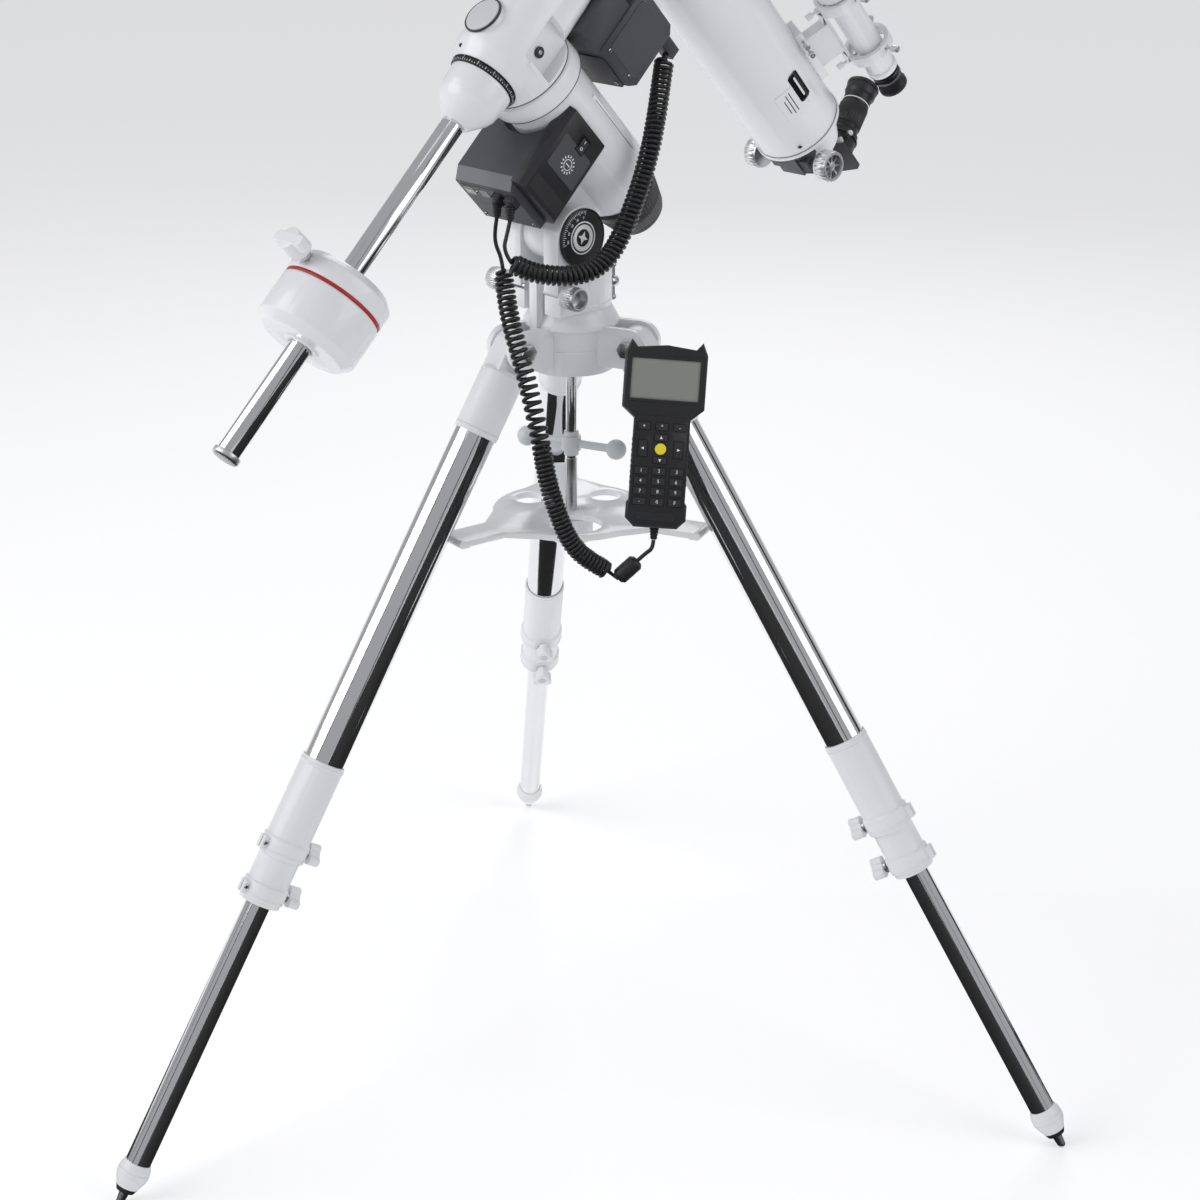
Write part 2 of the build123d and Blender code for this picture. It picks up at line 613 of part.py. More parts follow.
def counterweight():
    """Turned weight, bored for its shaft and drilled for its clamp stud."""
    half = WEIGHT_L / 2
    weight = turned(
        (WEIGHT_SHAFT_R + RUN, WEIGHT_D - half), (WEIGHT_R - 8, WEIGHT_D - half),
        (WEIGHT_R, WEIGHT_D - half + 8), (WEIGHT_R, WEIGHT_D + 9), (WEIGHT_R - 1, WEIGHT_D + 10),
        (WEIGHT_R - 1, WEIGHT_D + 14), (WEIGHT_R, WEIGHT_D + 15), (WEIGHT_R, WEIGHT_D + half - 8),
        (WEIGHT_R - 8, WEIGHT_D + half), (WEIGHT_SHAFT_R + RUN, WEIGHT_D + half),
    )
    weight -= rod((0, -WEIGHT_R - 2, WEIGHT_KNOB_D), (0, 0, WEIGHT_KNOB_D), WEIGHT_STUD_R + RUN)
    return weight


def weight_knob():
    """Clamp knob on the weight's side."""
    knob = rod((0, -WEIGHT_R - 9, 0), (0, -WEIGHT_R - 28, 0), 11)
    knob += rod((0, -WEIGHT_R - 3, 0), (0, -WEIGHT_R - 9, 0), 7)
    knob += rod((0, -WEIGHT_SHAFT_R - GAP, 0), (0, -WEIGHT_R - 3, 0), WEIGHT_STUD_R)
    return Pos(0, 0, WEIGHT_KNOB_D) * knob


# ---- saddle, rings, tube --------------------------------------------------------
def dovetail_outline():
    """The dovetail bar's section in X and Z."""
    low, high = DOVETAIL_W[0] / 2, DOVETAIL_W[1] / 2
    bottom = SADDLE_D[1] - DOVETAIL_T + 3
    return [(-low, bottom), (low, bottom), (high, bottom + DOVETAIL_T), (-high, bottom + DOVETAIL_T)]


def dovetail(extra):
    """The dovetail bar, longer by extra at each end."""
    half = DOVETAIL_L / 2 + extra
    place = Plane(origin=(0, half, 0), x_dir=(1, 0, 0), z_dir=(0, -1, 0))
    return slab(dovetail_outline(), 2 * half, place)


def saddle():
    """Clamp block on the declination axis, with its clamp knob."""
    low, high = SADDLE_D
    body = turned((0, low), (36, low), (38, low + 1.5), (38, low + 6), (0, low + 6))
    body += block((-34, 34), (-42, 42), (low + 6, high))
    body -= dovetail(5)
    knob = rod((34, 20, low + 14), (38, 20, low + 14), 5)
    knob += rod((38, 20, low + 14), (50, 20, low + 14), 9)
    return body, knob


def tube_rings():
    """Two tube rings on the dovetail bar, each with a clamp screw."""
    bar = dovetail(0)
    top = dovetail_outline()[2][1]
    pieces = [bar]
    for at in (-RING_AT, RING_AT):
        half = RING_W / 2
        ring = on_tube(pipe(TUBE_R + RUN, TUBE_R + RING_T, at - half, at + half))
        foot = block((-17, 17), (at - half, at + half), (top, TUBE_D - TUBE_R - 1))
        ring += foot - on_tube(Pos(0, 0, at) * Cylinder(TUBE_R + 1, RING_W + 2))
        reach = TUBE_R + RING_T
        tabs = block((reach - 3, reach + 12), (at - half + 3, at + half - 3),
                     (TUBE_D - 7, TUBE_D + 7))
        screw = rod((reach + 6, at, TUBE_D - 16), (reach + 6, at, TUBE_D + 7), 3)
        screw += rod((reach + 6, at, TUBE_D + 9), (reach + 6, at, TUBE_D + 21), 7)
        screw += rod((reach + 6, at, TUBE_D + 7), (reach + 6, at, TUBE_D + 9), 4)
        pieces += [ring + tabs - screw, screw]
    return pieces


def tube():
    """Main tube, with a screw near its back end."""
    return on_tube(pipe(TUBE_R - TUBE_WALL, TUBE_R, TUBE_FRONT, TUBE_BACK))


def dew_shield():
    """Wide shade round the front, joined to the tube by its collar."""
    return on_tube(turned(
        (TUBE_R, TUBE_FRONT + 12), (TUBE_R + 3, TUBE_FRONT + 12), (SHADE_R, TUBE_FRONT),
        (SHADE_R, SHADE_FRONT), (SHADE_R - SHADE_WALL, SHADE_FRONT),
        (SHADE_R - SHADE_WALL, TUBE_FRONT - 6), (TUBE_R, TUBE_FRONT - 6),
    ))


def lens():
    """Objective lens and its cell, in the front of the tube."""
    inside = TUBE_R - TUBE_WALL
    cell = pipe(inside - 2, inside, TUBE_FRONT - 4, TUBE_FRONT + 18)
    glass = turned(
        (0, TUBE_FRONT - 1), (inside - 12, TUBE_FRONT + 0.5), (inside - 2, TUBE_FRONT + 3),
        (inside - 2, TUBE_FRONT + 12), (0, TUBE_FRONT + 12),
    )
    return on_tube(cell), on_tube(glass)


def focuser():
    """White cone behind the tube, with the pinion's bracket under it."""
    inside = DRAW_R + RUN
    outline = [
        (TUBE_R, TUBE_BACK), (TUBE_R, TUBE_BACK + 3), (41, TUBE_BACK + 4),
        (32.5, FOCUSER_END - 3), (31.5, FOCUSER_END),
    ]
    cone = on_tube(turned((inside, TUBE_BACK), *outline, (inside, FOCUSER_END)))
    spigot = on_tube(pipe(TUBE_R - TUBE_WALL - 5, TUBE_R - TUBE_WALL, TUBE_BACK - 14, TUBE_BACK))
    bracket = block((-15, 15), (FOCUS_R - 17, FOCUS_R + 13), (FOCUS_D - 9, TUBE_D - 20))
    bracket += block((-26, 26), (FOCUS_R - 8, FOCUS_R + 8), (FOCUS_D - 7, FOCUS_D + 7))
    bracket -= on_tube(Pos(0, 0, FOCUS_R - 60) * Cylinder(DRAW_R + 1.5, 120, align=BOTTOM))
    bracket -= on_tube(turned((0, TUBE_BACK), *outline, (0, FOCUSER_END)))
    bore = Pos(0, FOCUS_R, FOCUS_D) * along_x(Cylinder(FOCUS_SPINDLE_R + RUN, 200))
    return cone + spigot - bore, bracket - bore


def focus_knobs():
    """Spindle with a spoked knob on each end."""
    near, far = FOCUS_KNOB_X
    knobs = along_x(Cylinder(FOCUS_SPINDLE_R, 2 * far - 6))
    for side in (-1, 1):
        rim = turned(
            (FOCUS_KNOB_R - 3, near), (FOCUS_KNOB_R, near), (FOCUS_KNOB_R, far),
            (FOCUS_KNOB_R - 3, far),
        )
        web = turned((0, near), (FOCUS_KNOB_R - 3, near), (FOCUS_KNOB_R - 3, near + 5), (0, near + 5))
        knob = rim + web + Pos(0, 0, near) * Cylinder(4.5, far - near - 2, align=BOTTOM)
        for step in range(8):
            spoke = Pos(FOCUS_KNOB_R / 2, 0, near) * Box(
                FOCUS_KNOB_R - 4, 1.8, far - near - 3, align=BOTTOM)
            knob += Rot(0, 0, 45 * step) * spoke
        knobs += Rot(0, 90 * side, 0) * knob
    return Pos(0, FOCUS_R, FOCUS_D) * knobs


def drawtube():
    """Sliding tube with the collar that takes the diagonal, and its two screws."""
    body = on_tube(turned(
        (DRAW_R - DRAW_WALL, DRAW_FRONT), (DRAW_R, DRAW_FRONT), (DRAW_R, DRAW_BACK - 6),
        (20.5, DRAW_BACK - 4), (20.5, DRAW_BACK + 2), (NOSE_R + RUN, DRAW_BACK + 2),
        (NOSE_R + RUN, DRAW_BACK - 12), (DRAW_R - DRAW_WALL, DRAW_BACK - 12),
    ))
    return body


def on_diagonal(shape):
    """Turns a shape with the diagonal about the tube's axis."""
    return Pos(0, 0, TUBE_D) * Rot(0, DIAGONAL_TURN, 0) * Pos(0, 0, -TUBE_D) * shape


def diagonal():
    """Star diagonal: nose, prism housing and eyepiece holder."""
    front = DRAW_BACK + 2.5
    back = EYE_AXIS_R + 24
    housing = slab(
        [(front, TUBE_D - 24), (front + 4, TUBE_D - 25), (back, TUBE_D + 18), (back, TUBE_D + 24),
         (front, TUBE_D + 24)],
        38, Plane(origin=(-19, 0, 0), x_dir=(0, 1, 0), z_dir=(1, 0, 0)),
    )
    nose = on_tube(Pos(0, 0, DRAW_BACK - 14) * Cylinder(NOSE_R, 18, align=BOTTOM))
    holder = Pos(0, EYE_AXIS_R, TUBE_D + 23) * Cylinder(18, 17, align=BOTTOM)
    bore = Pos(0, EYE_AXIS_R, TUBE_D + 8) * Cylinder(NOSE_R + RUN, 60, align=BOTTOM)
    return on_diagonal(housing + nose + holder - bore)


def eyepiece():
    """Eyepiece with its barrel in the diagonal and a rubber eyecup."""
    low = TUBE_D + 16
    top = TUBE_D + 40.5
    piece = turned(
        (0, low), (NOSE_R, low), (NOSE_R, top), (17, top), (17, top + 5), (14.6, top + 8),
        (14.6, top + 52), (16.5, top + 56), (16.5, top + 68), (13, top + 68), (10, top + 60),
        (0, top + 60),
    )
    return on_diagonal(Pos(0, EYE_AXIS_R, 0) * piece)


# ---- finder ---------------------------------------------------------------------
def finder():
    """Small sighting scope with its eyepiece end and objective."""
    place = Pos(FINDER_X, 0, FINDER_D)
    tube_piece = turned(
        (0, FINDER_FRONT), (19, FINDER_FRONT), (19, FINDER_FRONT + 22), (FINDER_R, FINDER_FRONT + 27),
        (FINDER_R, FINDER_BACK), (0, FINDER_BACK),
    )
    tube_piece -= Pos(0, 0, FINDER_FRONT - 1) * Cylinder(17, 12, align=BOTTOM)
    eye = turned(
        (0, FINDER_BACK), (13.5, FINDER_BACK), (12.5, FINDER_BACK + 3), (14, FINDER_BACK + 20),
        (15, FINDER_BACK + 23), (15, FINDER_BACK + 27), (11, FINDER_BACK + 27),
        (9, FINDER_BACK + 24), (0, FINDER_BACK + 24),
    )
    return place * along_y(tube_piece), place * along_y(eye)


def finder_bracket():
    """Shoe on the tube, stalk and two rings, each ring with three screws."""
    lean = 30.0
    reach = hypot(FINDER_X, FINDER_D - TUBE_D)
    outward = Pos(0, 0, TUBE_D) * Rot(0, lean, 0)
    shoe = block((-13, 13), (262, 326), (TUBE_R - 4, TUBE_R + 7))
    shoe -= Rot(-90, 0, 0) * Cylinder(TUBE_R, 800)
    stalk = block((-7, 7), (278, 318), (TUBE_R + 6, reach - FINDER_R - 9))
    pieces = [outward * (shoe + stalk)]
    for at in FINDER_RINGS:
        ring = pipe(FINDER_R + 4.5, FINDER_R + 9, at - 6, at + 6)
        pieces[0] += Pos(FINDER_X, 0, FINDER_D) * along_y(ring)
    bar = block((-5, 5), (FINDER_RINGS[0], FINDER_RINGS[1]),
                (reach - FINDER_R - 12, reach - FINDER_R - 5.5))
    pieces[0] += outward * bar
    for at in FINDER_RINGS:
        for step in (0, 120, 240):
            turn = Rot(0, lean + 60 + step, 0)
            screw = rod((0, at, FINDER_R), (0, at, FINDER_R + 16), 1.6)
            screw += rod((0, at, FINDER_R + 16), (0, at, FINDER_R + 23), 3.4)
            screw = Pos(FINDER_X, 0, FINDER_D) * turn * screw
            pieces[0] -= screw
            pieces.append(screw)
    return pieces


# ---- hand controller ------------------------------------------------------------
KEY_COLUMNS = (-16.5, 0.0, 16.5)
DIGIT_ROWS = (-34.5, -44.0, -53.5, -63.0)


def key_shapes(grow):
    """Every key's outline solid, grown all round, from inside the case to above it."""
    low = HANDSET_HALF_T - 2.0 - 3.5 * grow
    high = HANDSET_HALF_T + KEY_PROUD + 5 * grow
    keys = []
    for row in DIGIT_ROWS:
        for column in KEY_COLUMNS:
            keys.append(((column, row), (12.0, 6.6)))
    for column in KEY_COLUMNS:
        keys.append(((column, 6.5), (11.0, 6.5)))
    keys += [((0, -3.6), (12, 6)), ((0, -24.4), (12, 6))]
    keys += [((-16.5, -14), (8, 15)), ((16.5, -14), (8, 15))]
    solids = []
    for (x, y), (wide, tall) in keys:
        body = Box(wide + 2 * grow, tall + 2 * grow, high - low, align=BOTTOM)
        solids.append(Pos(x, y, low) * body)
    solids.append(Pos(0, -14, low) * Cylinder(5.2 + grow, high - low, align=BOTTOM))
    return solids


def handset_case():
    """Hand controller's case, its screen window, pockets for keys and slot for its hook."""
    half = HANDSET_HALF_H
    outline = [
        (-20, -half), (20, -half), (28, -half + 8), (28, -65), (26, -62), (26, 14), (38, 24),
        (38, 74), (33, half - 1), (27, half - 8), (0, half - 5), (-27, half - 8),
        (-33, half - 1), (-38, 74), (-38, 24), (-26, 14), (-26, -62), (-28, -65),
        (-28, -half + 8),
    ]
    low = -HANDSET_HALF_T
    case = Pos(0, 0, low) * extrude(make_face(Polyline(*outline, close=True)), 2 * HANDSET_HALF_T)
    case = chamfer(case.faces().sort_by(Axis.Z)[-1].edges(), 1.5)
    case -= block((-32, 32), (31, 69), (HANDSET_HALF_T - 1.2, HANDSET_HALF_T + 1))
    for key in key_shapes(KEY_GAP):
        case -= key
    neck = STUD_HALF_W + GAP
    head = STUD_HEAD_HALF_W + GAP
    case -= block((-neck, neck), (-28, 16.3), (low - 1, low + 4.5))
    case -= block((-head, head), (-28, 16.3), (low + 1.7, low + 4.5))
    relief = rod((0, -half, 0), (0, -half - 11, 0), 4, 2.8)
    window = block((-32, 32), (31, 69), (HANDSET_HALF_T - 1.2, HANDSET_HALF_T - 0.6))
    return case, relief, window


def handset_holder():
    """Bracket from an ear of the hub to the hook that the hand controller hangs on."""
    low = -HANDSET_HALF_T
    plate = block((-19, 19), (-22, 22), (low - 4.5, low - GAP))
    stud = block((-STUD_HALF_W, STUD_HALF_W), (4, 16), (low - 1, low + 2.5))
    stud += block((-STUD_HEAD_HALF_W, STUD_HEAD_HALF_W), (4, 16), (low + 2.0, low + 4.1))
    cradle = HANDSET * (plate + stud)
    ear_face = -(LUG_HALF + 0.4 + EAR_T)
    ear = Rot(0, 0, LEG_AZIMUTHS[0]) * Pos(PIVOT_X, ear_face, HINGE_Z)
    pad = ear * block((10, 24), (-4, 0), (-16, -3))
    start = (ear * Pos(20, -3, -10)).position
    end = (HANDSET * Pos(0, 0, low - 3)).position
    arm = rod(tuple(start), tuple(end), 4.5)
    arm -= HANDSET * block((-30, 30), (-30, 30), (low - GAP, low + 20))
    return pad + arm + cradle


# ---- cord ends ------------------------------------------------------------------
def cord_a_plug():
    """Plug on the declination drive, with the stub that the coiled cord leaves by."""
    x, d = DEC_PLUG
    face = DEC_MOTOR_R[1]
    body = block((x - 6.5, x + 6.5), (face, face + 24), (d - 6, d + 6))
    start = HEAD.inverse() * Pos(*COIL_A_ROUTE[0])
    after = HEAD.inverse() * Pos(*COIL_A_ROUTE[1])
    away = (start.position - after.position).normalized()
    stub = rod(tuple(start.position + away * 7.5), tuple(start.position), WIRE_R + 0.6)
    return body + stub


def cord_bead():
    """Filter bead on the hand controller's cord."""
    bead = turned(
        (WIRE_R, 0), (BEAD_R - 3, 0), (BEAD_R, 3), (BEAD_R, BEAD_L - 3), (BEAD_R - 3, BEAD_L),
        (WIRE_R, BEAD_L),
    )
    return Plane(origin=BEAD_START, z_dir=BEAD_ALONG) * bead


def main():
    save("hub", hub())
    save("hinge_bolts", *hinge_bolts())
    for number, azimuth in enumerate(LEG_AZIMUTHS, start=1):
        place = leg_place(azimuth)
        save(f"leg_{number}_top", leg_top(), at=place)
        save(f"leg_{number}_tube", leg_tube(), at=place)
        save(f"leg_{number}_sleeve", leg_sleeve(), at=place)
        save(f"leg_{number}_lower", *leg_lower(), at=place)
        save(f"leg_{number}_upper_knob", clamp_knob(RING_1, -UPPER_R - 0.2), at=place)
        save(f"leg_{number}_lower_knob", clamp_knob(RING_2, -LOWER_R - 0.2), at=place)
    save("centre_rod", centre_rod())
    save("tee_handle", tee_handle())
    save("spreader_plate", spreader_plate())
    save("tension_knob", tension_knob())

    save("mount_base", *mount_base())
    save("latitude_dial", latitude_dial())
    save("azimuth_knobs", *azimuth_knobs())
    save("latitude_screw", latitude_screw())
    save("ra_housing", ra_housing(), at=HEAD)
    save("ra_end_cap", ra_end_cap(), at=HEAD)
    save("motor_box", *motor_box(), at=HEAD)
    save("power_switch", power_switch(), at=HEAD)
    save("dec_housing", *dec_housing(), at=HEAD)
    save("dec_motor_cover", dec_motor_cover(), at=HEAD)
    save("shaft_cone", *shaft_cone(), at=HEAD)
    save("weight_shaft", *weight_shaft(), at=HEAD)
    save("counterweight", counterweight(), at=HEAD)
    save("weight_knob", weight_knob(), at=HEAD)

    save("saddle", *saddle(), at=HEAD)
    save("tube_rings", *tube_rings(), at=HEAD)
    save("tube", tube(), at=HEAD)
    save("dew_shield", dew_shield(), at=HEAD)
    save("lens", *lens(), at=HEAD)
    save("focuser", *focuser(), at=HEAD)
    save("focus_knobs", focus_knobs(), at=HEAD)
    save("drawtube", drawtube(), at=HEAD)
    save("diagonal", diagonal(), at=HEAD)
    save("eyepiece", eyepiece(), at=HEAD)
    save("finder_bracket", *finder_bracket(), at=HEAD)
    save("finder", *finder(), at=HEAD)

    save("handset_case", *handset_case(), at=HANDSET)
    save("handset_keys", *key_shapes(0), at=HANDSET)
    save("handset_holder", handset_holder())
    save("cord_a_plug", cord_a_plug(), at=HEAD)
    save("cord_a_coil", cord(COIL_A_ROUTE, COIL_A_R))
    save("cord_a_lead", cord(LEAD_A_ROUTE, WIRE_R))
    save("cord_b_lead", cord(LEAD_B_ROUTE, WIRE_R))
    save("cord_b_coil", cord(COIL_B_ROUTE, COIL_B_R))
    save("cord_b_bead", cord_bead())
    save("cord_b_tail", rod(COIL_B_ROUTE[-1], BEAD_START, WIRE_R), cord(TAIL_ROUTE, WIRE_R))


main()
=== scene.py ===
"""Looks of the telescope on its tripod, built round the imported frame. Metres, +Z up."""
import json
import math

import bmesh
import bpy
from mathutils import Matrix, Vector


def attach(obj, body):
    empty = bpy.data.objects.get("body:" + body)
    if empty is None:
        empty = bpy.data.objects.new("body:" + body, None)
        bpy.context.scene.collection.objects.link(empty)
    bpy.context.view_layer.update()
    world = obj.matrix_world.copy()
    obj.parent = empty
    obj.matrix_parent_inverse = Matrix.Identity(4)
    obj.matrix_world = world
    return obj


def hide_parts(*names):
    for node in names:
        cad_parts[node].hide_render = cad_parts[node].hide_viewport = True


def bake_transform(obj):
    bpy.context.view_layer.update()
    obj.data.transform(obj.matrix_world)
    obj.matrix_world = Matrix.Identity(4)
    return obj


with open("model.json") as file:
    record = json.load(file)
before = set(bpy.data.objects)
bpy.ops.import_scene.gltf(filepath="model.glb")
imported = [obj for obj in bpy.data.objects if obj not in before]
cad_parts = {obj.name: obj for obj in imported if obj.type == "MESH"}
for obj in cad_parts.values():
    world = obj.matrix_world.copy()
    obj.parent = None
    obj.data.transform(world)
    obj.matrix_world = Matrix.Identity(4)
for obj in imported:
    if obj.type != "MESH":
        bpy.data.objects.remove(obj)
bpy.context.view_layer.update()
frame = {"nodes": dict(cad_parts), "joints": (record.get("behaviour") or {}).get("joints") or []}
NODES = frame["nodes"]
JOINTS = {joint["name"]: joint for joint in frame["joints"]}
MM = 0.001


# ---- places, from the frame -----------------------------------------------------
def columns(x, y, z, at):
    """A placing matrix from its three axes and its origin."""
    turn = Matrix((x, y, z)).transposed()
    return Matrix.Translation(at) @ turn.to_4x4()


def turn_about(axis, degrees):
    return Matrix.Rotation(math.radians(degrees), 4, axis)


def shift(x, y, z):
    """A move given in millimetres."""
    return Matrix.Translation((x * MM, y * MM, z * MM))


CROSSING = Vector(JOINTS["declination_turn"]["pos_m"])
POLAR = Vector(JOINTS["polar_turn"]["axis"])
DECLINATION = Vector(JOINTS["declination_turn"]["axis"])
HEAD = columns(Vector((1, 0, 0)), POLAR, DECLINATION, CROSSING)
TO_Y = turn_about("X", -90)
TO_X = turn_about("Y", 90)
TUBE_AXIS_D = 205.0
TUBE_R = 46.0
ON_TUBE = HEAD @ shift(0, 0, TUBE_AXIS_D) @ TO_Y
HANDSET_AT = Vector((0.1444, -0.0222, 0.7163))
HANDSET_UP = Vector(JOINTS["handset_lift"]["axis"])
HANDSET_OUT = -Vector(JOINTS["keys_press"]["axis"])
HANDSET = columns(HANDSET_UP.cross(HANDSET_OUT), HANDSET_UP, HANDSET_OUT, HANDSET_AT)
HANDSET_FRONT = 14.0
CAMERA_AZIMUTH = 46.5
LEGS = (1, 2, 3)


def look_along_x():
    """A frame whose Z is +X, with its X along Y and its Y upward along Z."""
    return columns(Vector((0, 1, 0)), Vector((0, 0, 1)), Vector((1, 0, 0)), Vector((0, 0, 0)))


def leg_place(number):
    """A leg's own frame: the hinge at the origin, -Z down the leg, X outward."""
    fold = JOINTS[f"leg_{number}_fold"]
    along = Vector(JOINTS[f"leg_{number}_extend"]["axis"])
    side = Vector(fold["axis"])
    return columns(side.cross(-along), side, -along, Vector(fold["pos_m"]))


# ---- camera and light -----------------------------------------------------------
def make_camera():
    """The camera looks down a little from the front right."""
    distance = 2.246
    height = 1.405
    pitch = 21.9
    data = bpy.data.cameras.new("camera")
    data.lens = 72
    data.sensor_width = 36
    data.shift_x = 0.0239
    camera = bpy.data.objects.new("camera", data)
    bpy.context.scene.collection.objects.link(camera)
    a = math.radians(CAMERA_AZIMUTH)
    camera.location = (distance * math.sin(a), -distance * math.cos(a), height)
    camera.rotation_euler = (math.radians(90 - pitch), 0, a)
    bpy.context.scene.camera = camera


def area_light(name, at, towards, size, power):
    data = bpy.data.lights.new(name, "AREA")
    data.shape = "RECTANGLE"
    data.size, data.size_y = size
    data.energy = power
    light = bpy.data.objects.new(name, data)
    bpy.context.scene.collection.objects.link(light)
    light.location = at
    aim = Vector(towards) - Vector(at)
    light.rotation_euler = aim.to_track_quat("-Z", "Y").to_euler()


def studio():
    """Pale floor, soft lights, and dark cards that only reflections see."""
    world = bpy.data.worlds.new("world")
    bpy.context.scene.world = world
    world.use_nodes = True
    background = world.node_tree.nodes["Background"]
    background.inputs["Color"].default_value = (0.97, 0.98, 1.0, 1)
    background.inputs["Strength"].default_value = 0.42
    area_light("key", (-1.30, -2.75, 2.6), (0, 0, 0.85), (3.2, 2.4), 62)
    area_light("fill", (2.80, 0.95, 2.2), (0, 0, 0.8), (2.0, 2.2), 22)
    area_light("rim", (-1.8, 2.4, 2.4), (0, 0, 0.9), (1.2, 1.8), 16)
    bpy.ops.mesh.primitive_plane_add(size=60)
    floor = bpy.context.object
    floor.name = "floor"
    pale = paint("floor_paint", (0.84, 0.84, 0.85), 0.75, 0.01, 3, spread=0.0)
    glow = pale.node_tree.nodes["Principled BSDF"].inputs
    glow["Emission Color"].default_value = (1, 1, 1, 1)
    glow["Emission Strength"].default_value = 0.36
    floor.data.materials.append(pale)
    dark = paint("card_black", (0.01, 0.01, 0.01), 0.9, 0, 1)
    a = math.radians(CAMERA_AZIMUTH)
    back = Vector((-math.sin(a), math.cos(a), 0))
    near, far, wide_floor = -9.0, 0.3, 24.0
    cards = [(back * (near + far) / 2 + Vector((0, 0, 0.003)), (wide_floor, far - near, 1),
              (0, 0, a))]
    for azimuth, wide in ((-30, 0.10), (0, 0.22), (66, 0.16), (98, 0.10), (150, 0.5)):
        b = math.radians(azimuth)
        at = Vector((2.5 * math.sin(b), -2.5 * math.cos(b), 2.62))
        cards.append((at, (wide, 5.2, 1), (math.radians(90), 0, b)))
    for index, (at, size, turn) in enumerate(cards):
        bpy.ops.mesh.primitive_plane_add(size=1)
        card = bpy.context.object
        card.name = f"card_{index}"
        card.location = at
        card.scale = size
        card.rotation_euler = turn
        card.visible_camera = False
        card.visible_diffuse = False
        card.visible_shadow = False
        card.data.materials.append(dark)
    settings = bpy.context.scene.view_settings
    settings.view_transform = "Standard"


# ---- materials ------------------------------------------------------------------
def new_material(name):
    """A node material and its shader, or the one made before under that name."""
    found = bpy.data.materials.get(name)
    if found:
        return found, None, None
    made = bpy.data.materials.new(name)
    made.use_nodes = True
    return made, made.node_tree, made.node_tree.nodes["Principled BSDF"]


def add_node(tree, kind, **values):
    node = tree.nodes.new(kind)
    for key, value in values.items():
        if key in node.inputs:
            node.inputs[key].default_value = value
        else:
            setattr(node, key, value)
    return node


def ramp(tree, source, low, high, stops):
    """A colour ramp over source between two positions."""
    node = tree.nodes.new("ShaderNodeValToRGB")
    node.color_ramp.elements[0].position = low
    node.color_ramp.elements[1].position = high
    node.color_ramp.elements[0].color = (*stops[0], 1)
    node.color_ramp.elements[1].color = (*stops[1], 1)
    tree.links.new(source, node.inputs["Fac"])
    return node.outputs["Color"]


def shade(colour, factor):
    return tuple(min(1.0, c * factor) for c in colour)


def paint(name, colour, rough, bump, scale, metal=0.0, spread=0.06, wear=None, coat=0.0,
          stretch=(1, 1, 1), rough_spread=0.08):
    """A surface with uneven colour and roughness, fine relief and worn or dusty edges."""
    made, tree, shader = new_material(name)
    if tree is None:
        return made
    place = tree.nodes.new("ShaderNodeTexCoord").outputs["Object"]
    mapping = tree.nodes.new("ShaderNodeMapping")
    mapping.inputs["Scale"].default_value = stretch
    tree.links.new(place, mapping.inputs["Vector"])
    broad = add_node(tree, "ShaderNodeTexNoise", Scale=7.0, Detail=4.0, Roughness=0.6)
    fine = add_node(tree, "ShaderNodeTexNoise", Scale=float(scale), Detail=3.0)
    tree.links.new(place, broad.inputs["Vector"])
    tree.links.new(mapping.outputs["Vector"], fine.inputs["Vector"])
    tone = ramp(tree, broad.outputs["Fac"], 0.3, 0.7, (shade(colour, 1 - spread), shade(colour, 1 + spread)))
    if wear:
        edges = tree.nodes.new("ShaderNodeNewGeometry").outputs["Pointiness"]
        mask = ramp(tree, edges, 0.52, 0.62, ((0, 0, 0), (1, 1, 1)))
        mix = tree.nodes.new("ShaderNodeMix")
        mix.data_type = "RGBA"
        mix.inputs[7].default_value = (*wear, 1)
        tree.links.new(mask, mix.inputs[0])
        tree.links.new(tone, mix.inputs[6])
        tone = mix.outputs[2]
    tree.links.new(tone, shader.inputs["Base Color"])
    gloss = add_node(tree, "ShaderNodeMapRange")
    gloss.inputs["To Min"].default_value = max(0.02, rough - rough_spread)
    gloss.inputs["To Max"].default_value = rough + rough_spread
    tree.links.new(fine.outputs["Fac"], gloss.inputs["Value"])
    tree.links.new(gloss.outputs["Result"], shader.inputs["Roughness"])
    relief = add_node(tree, "ShaderNodeBump", Strength=float(bump), Distance=0.0006)
    tree.links.new(fine.outputs["Fac"], relief.inputs["Height"])
    tree.links.new(relief.outputs["Normal"], shader.inputs["Normal"])
    shader.inputs["Metallic"].default_value = metal
    shader.inputs["Coat Weight"].default_value = coat
    shader.inputs["Coat Roughness"].default_value = 0.12
    return made


def white():
    return paint("white_enamel", (0.79, 0.80, 0.825), 0.30, 0.06, 900, coat=0.35, spread=0.02,
                 wear=(0.86, 0.87, 0.89))


def white_plastic():
    return paint("white_moulded", (0.80, 0.81, 0.83), 0.34, 0.10, 1500, spread=0.02)


def pale_grey():
    return paint("pale_moulded", (0.60, 0.62, 0.64), 0.4, 0.12, 1200, spread=0.04)


def chrome():
    return paint("chromed_steel", (0.80, 0.80, 0.82), 0.09, 0.02, 300, metal=1.0, spread=0.02,
                 rough_spread=0.04)


def steel():
    return paint("turned_steel", (0.56, 0.56, 0.57), 0.28, 0.12, 900, metal=1.0,
                 stretch=(1, 1, 6), wear=(0.8, 0.8, 0.8))


def silver():
    return paint("machined_aluminium", (0.74, 0.74, 0.76), 0.40, 0.06, 900, metal=1.0,
                 wear=(0.9, 0.9, 0.9))


def black():
    return paint("black_moulded", (0.014, 0.014, 0.016), 0.42, 0.18, 1400, spread=0.2,
                 wear=(0.05, 0.05, 0.055))


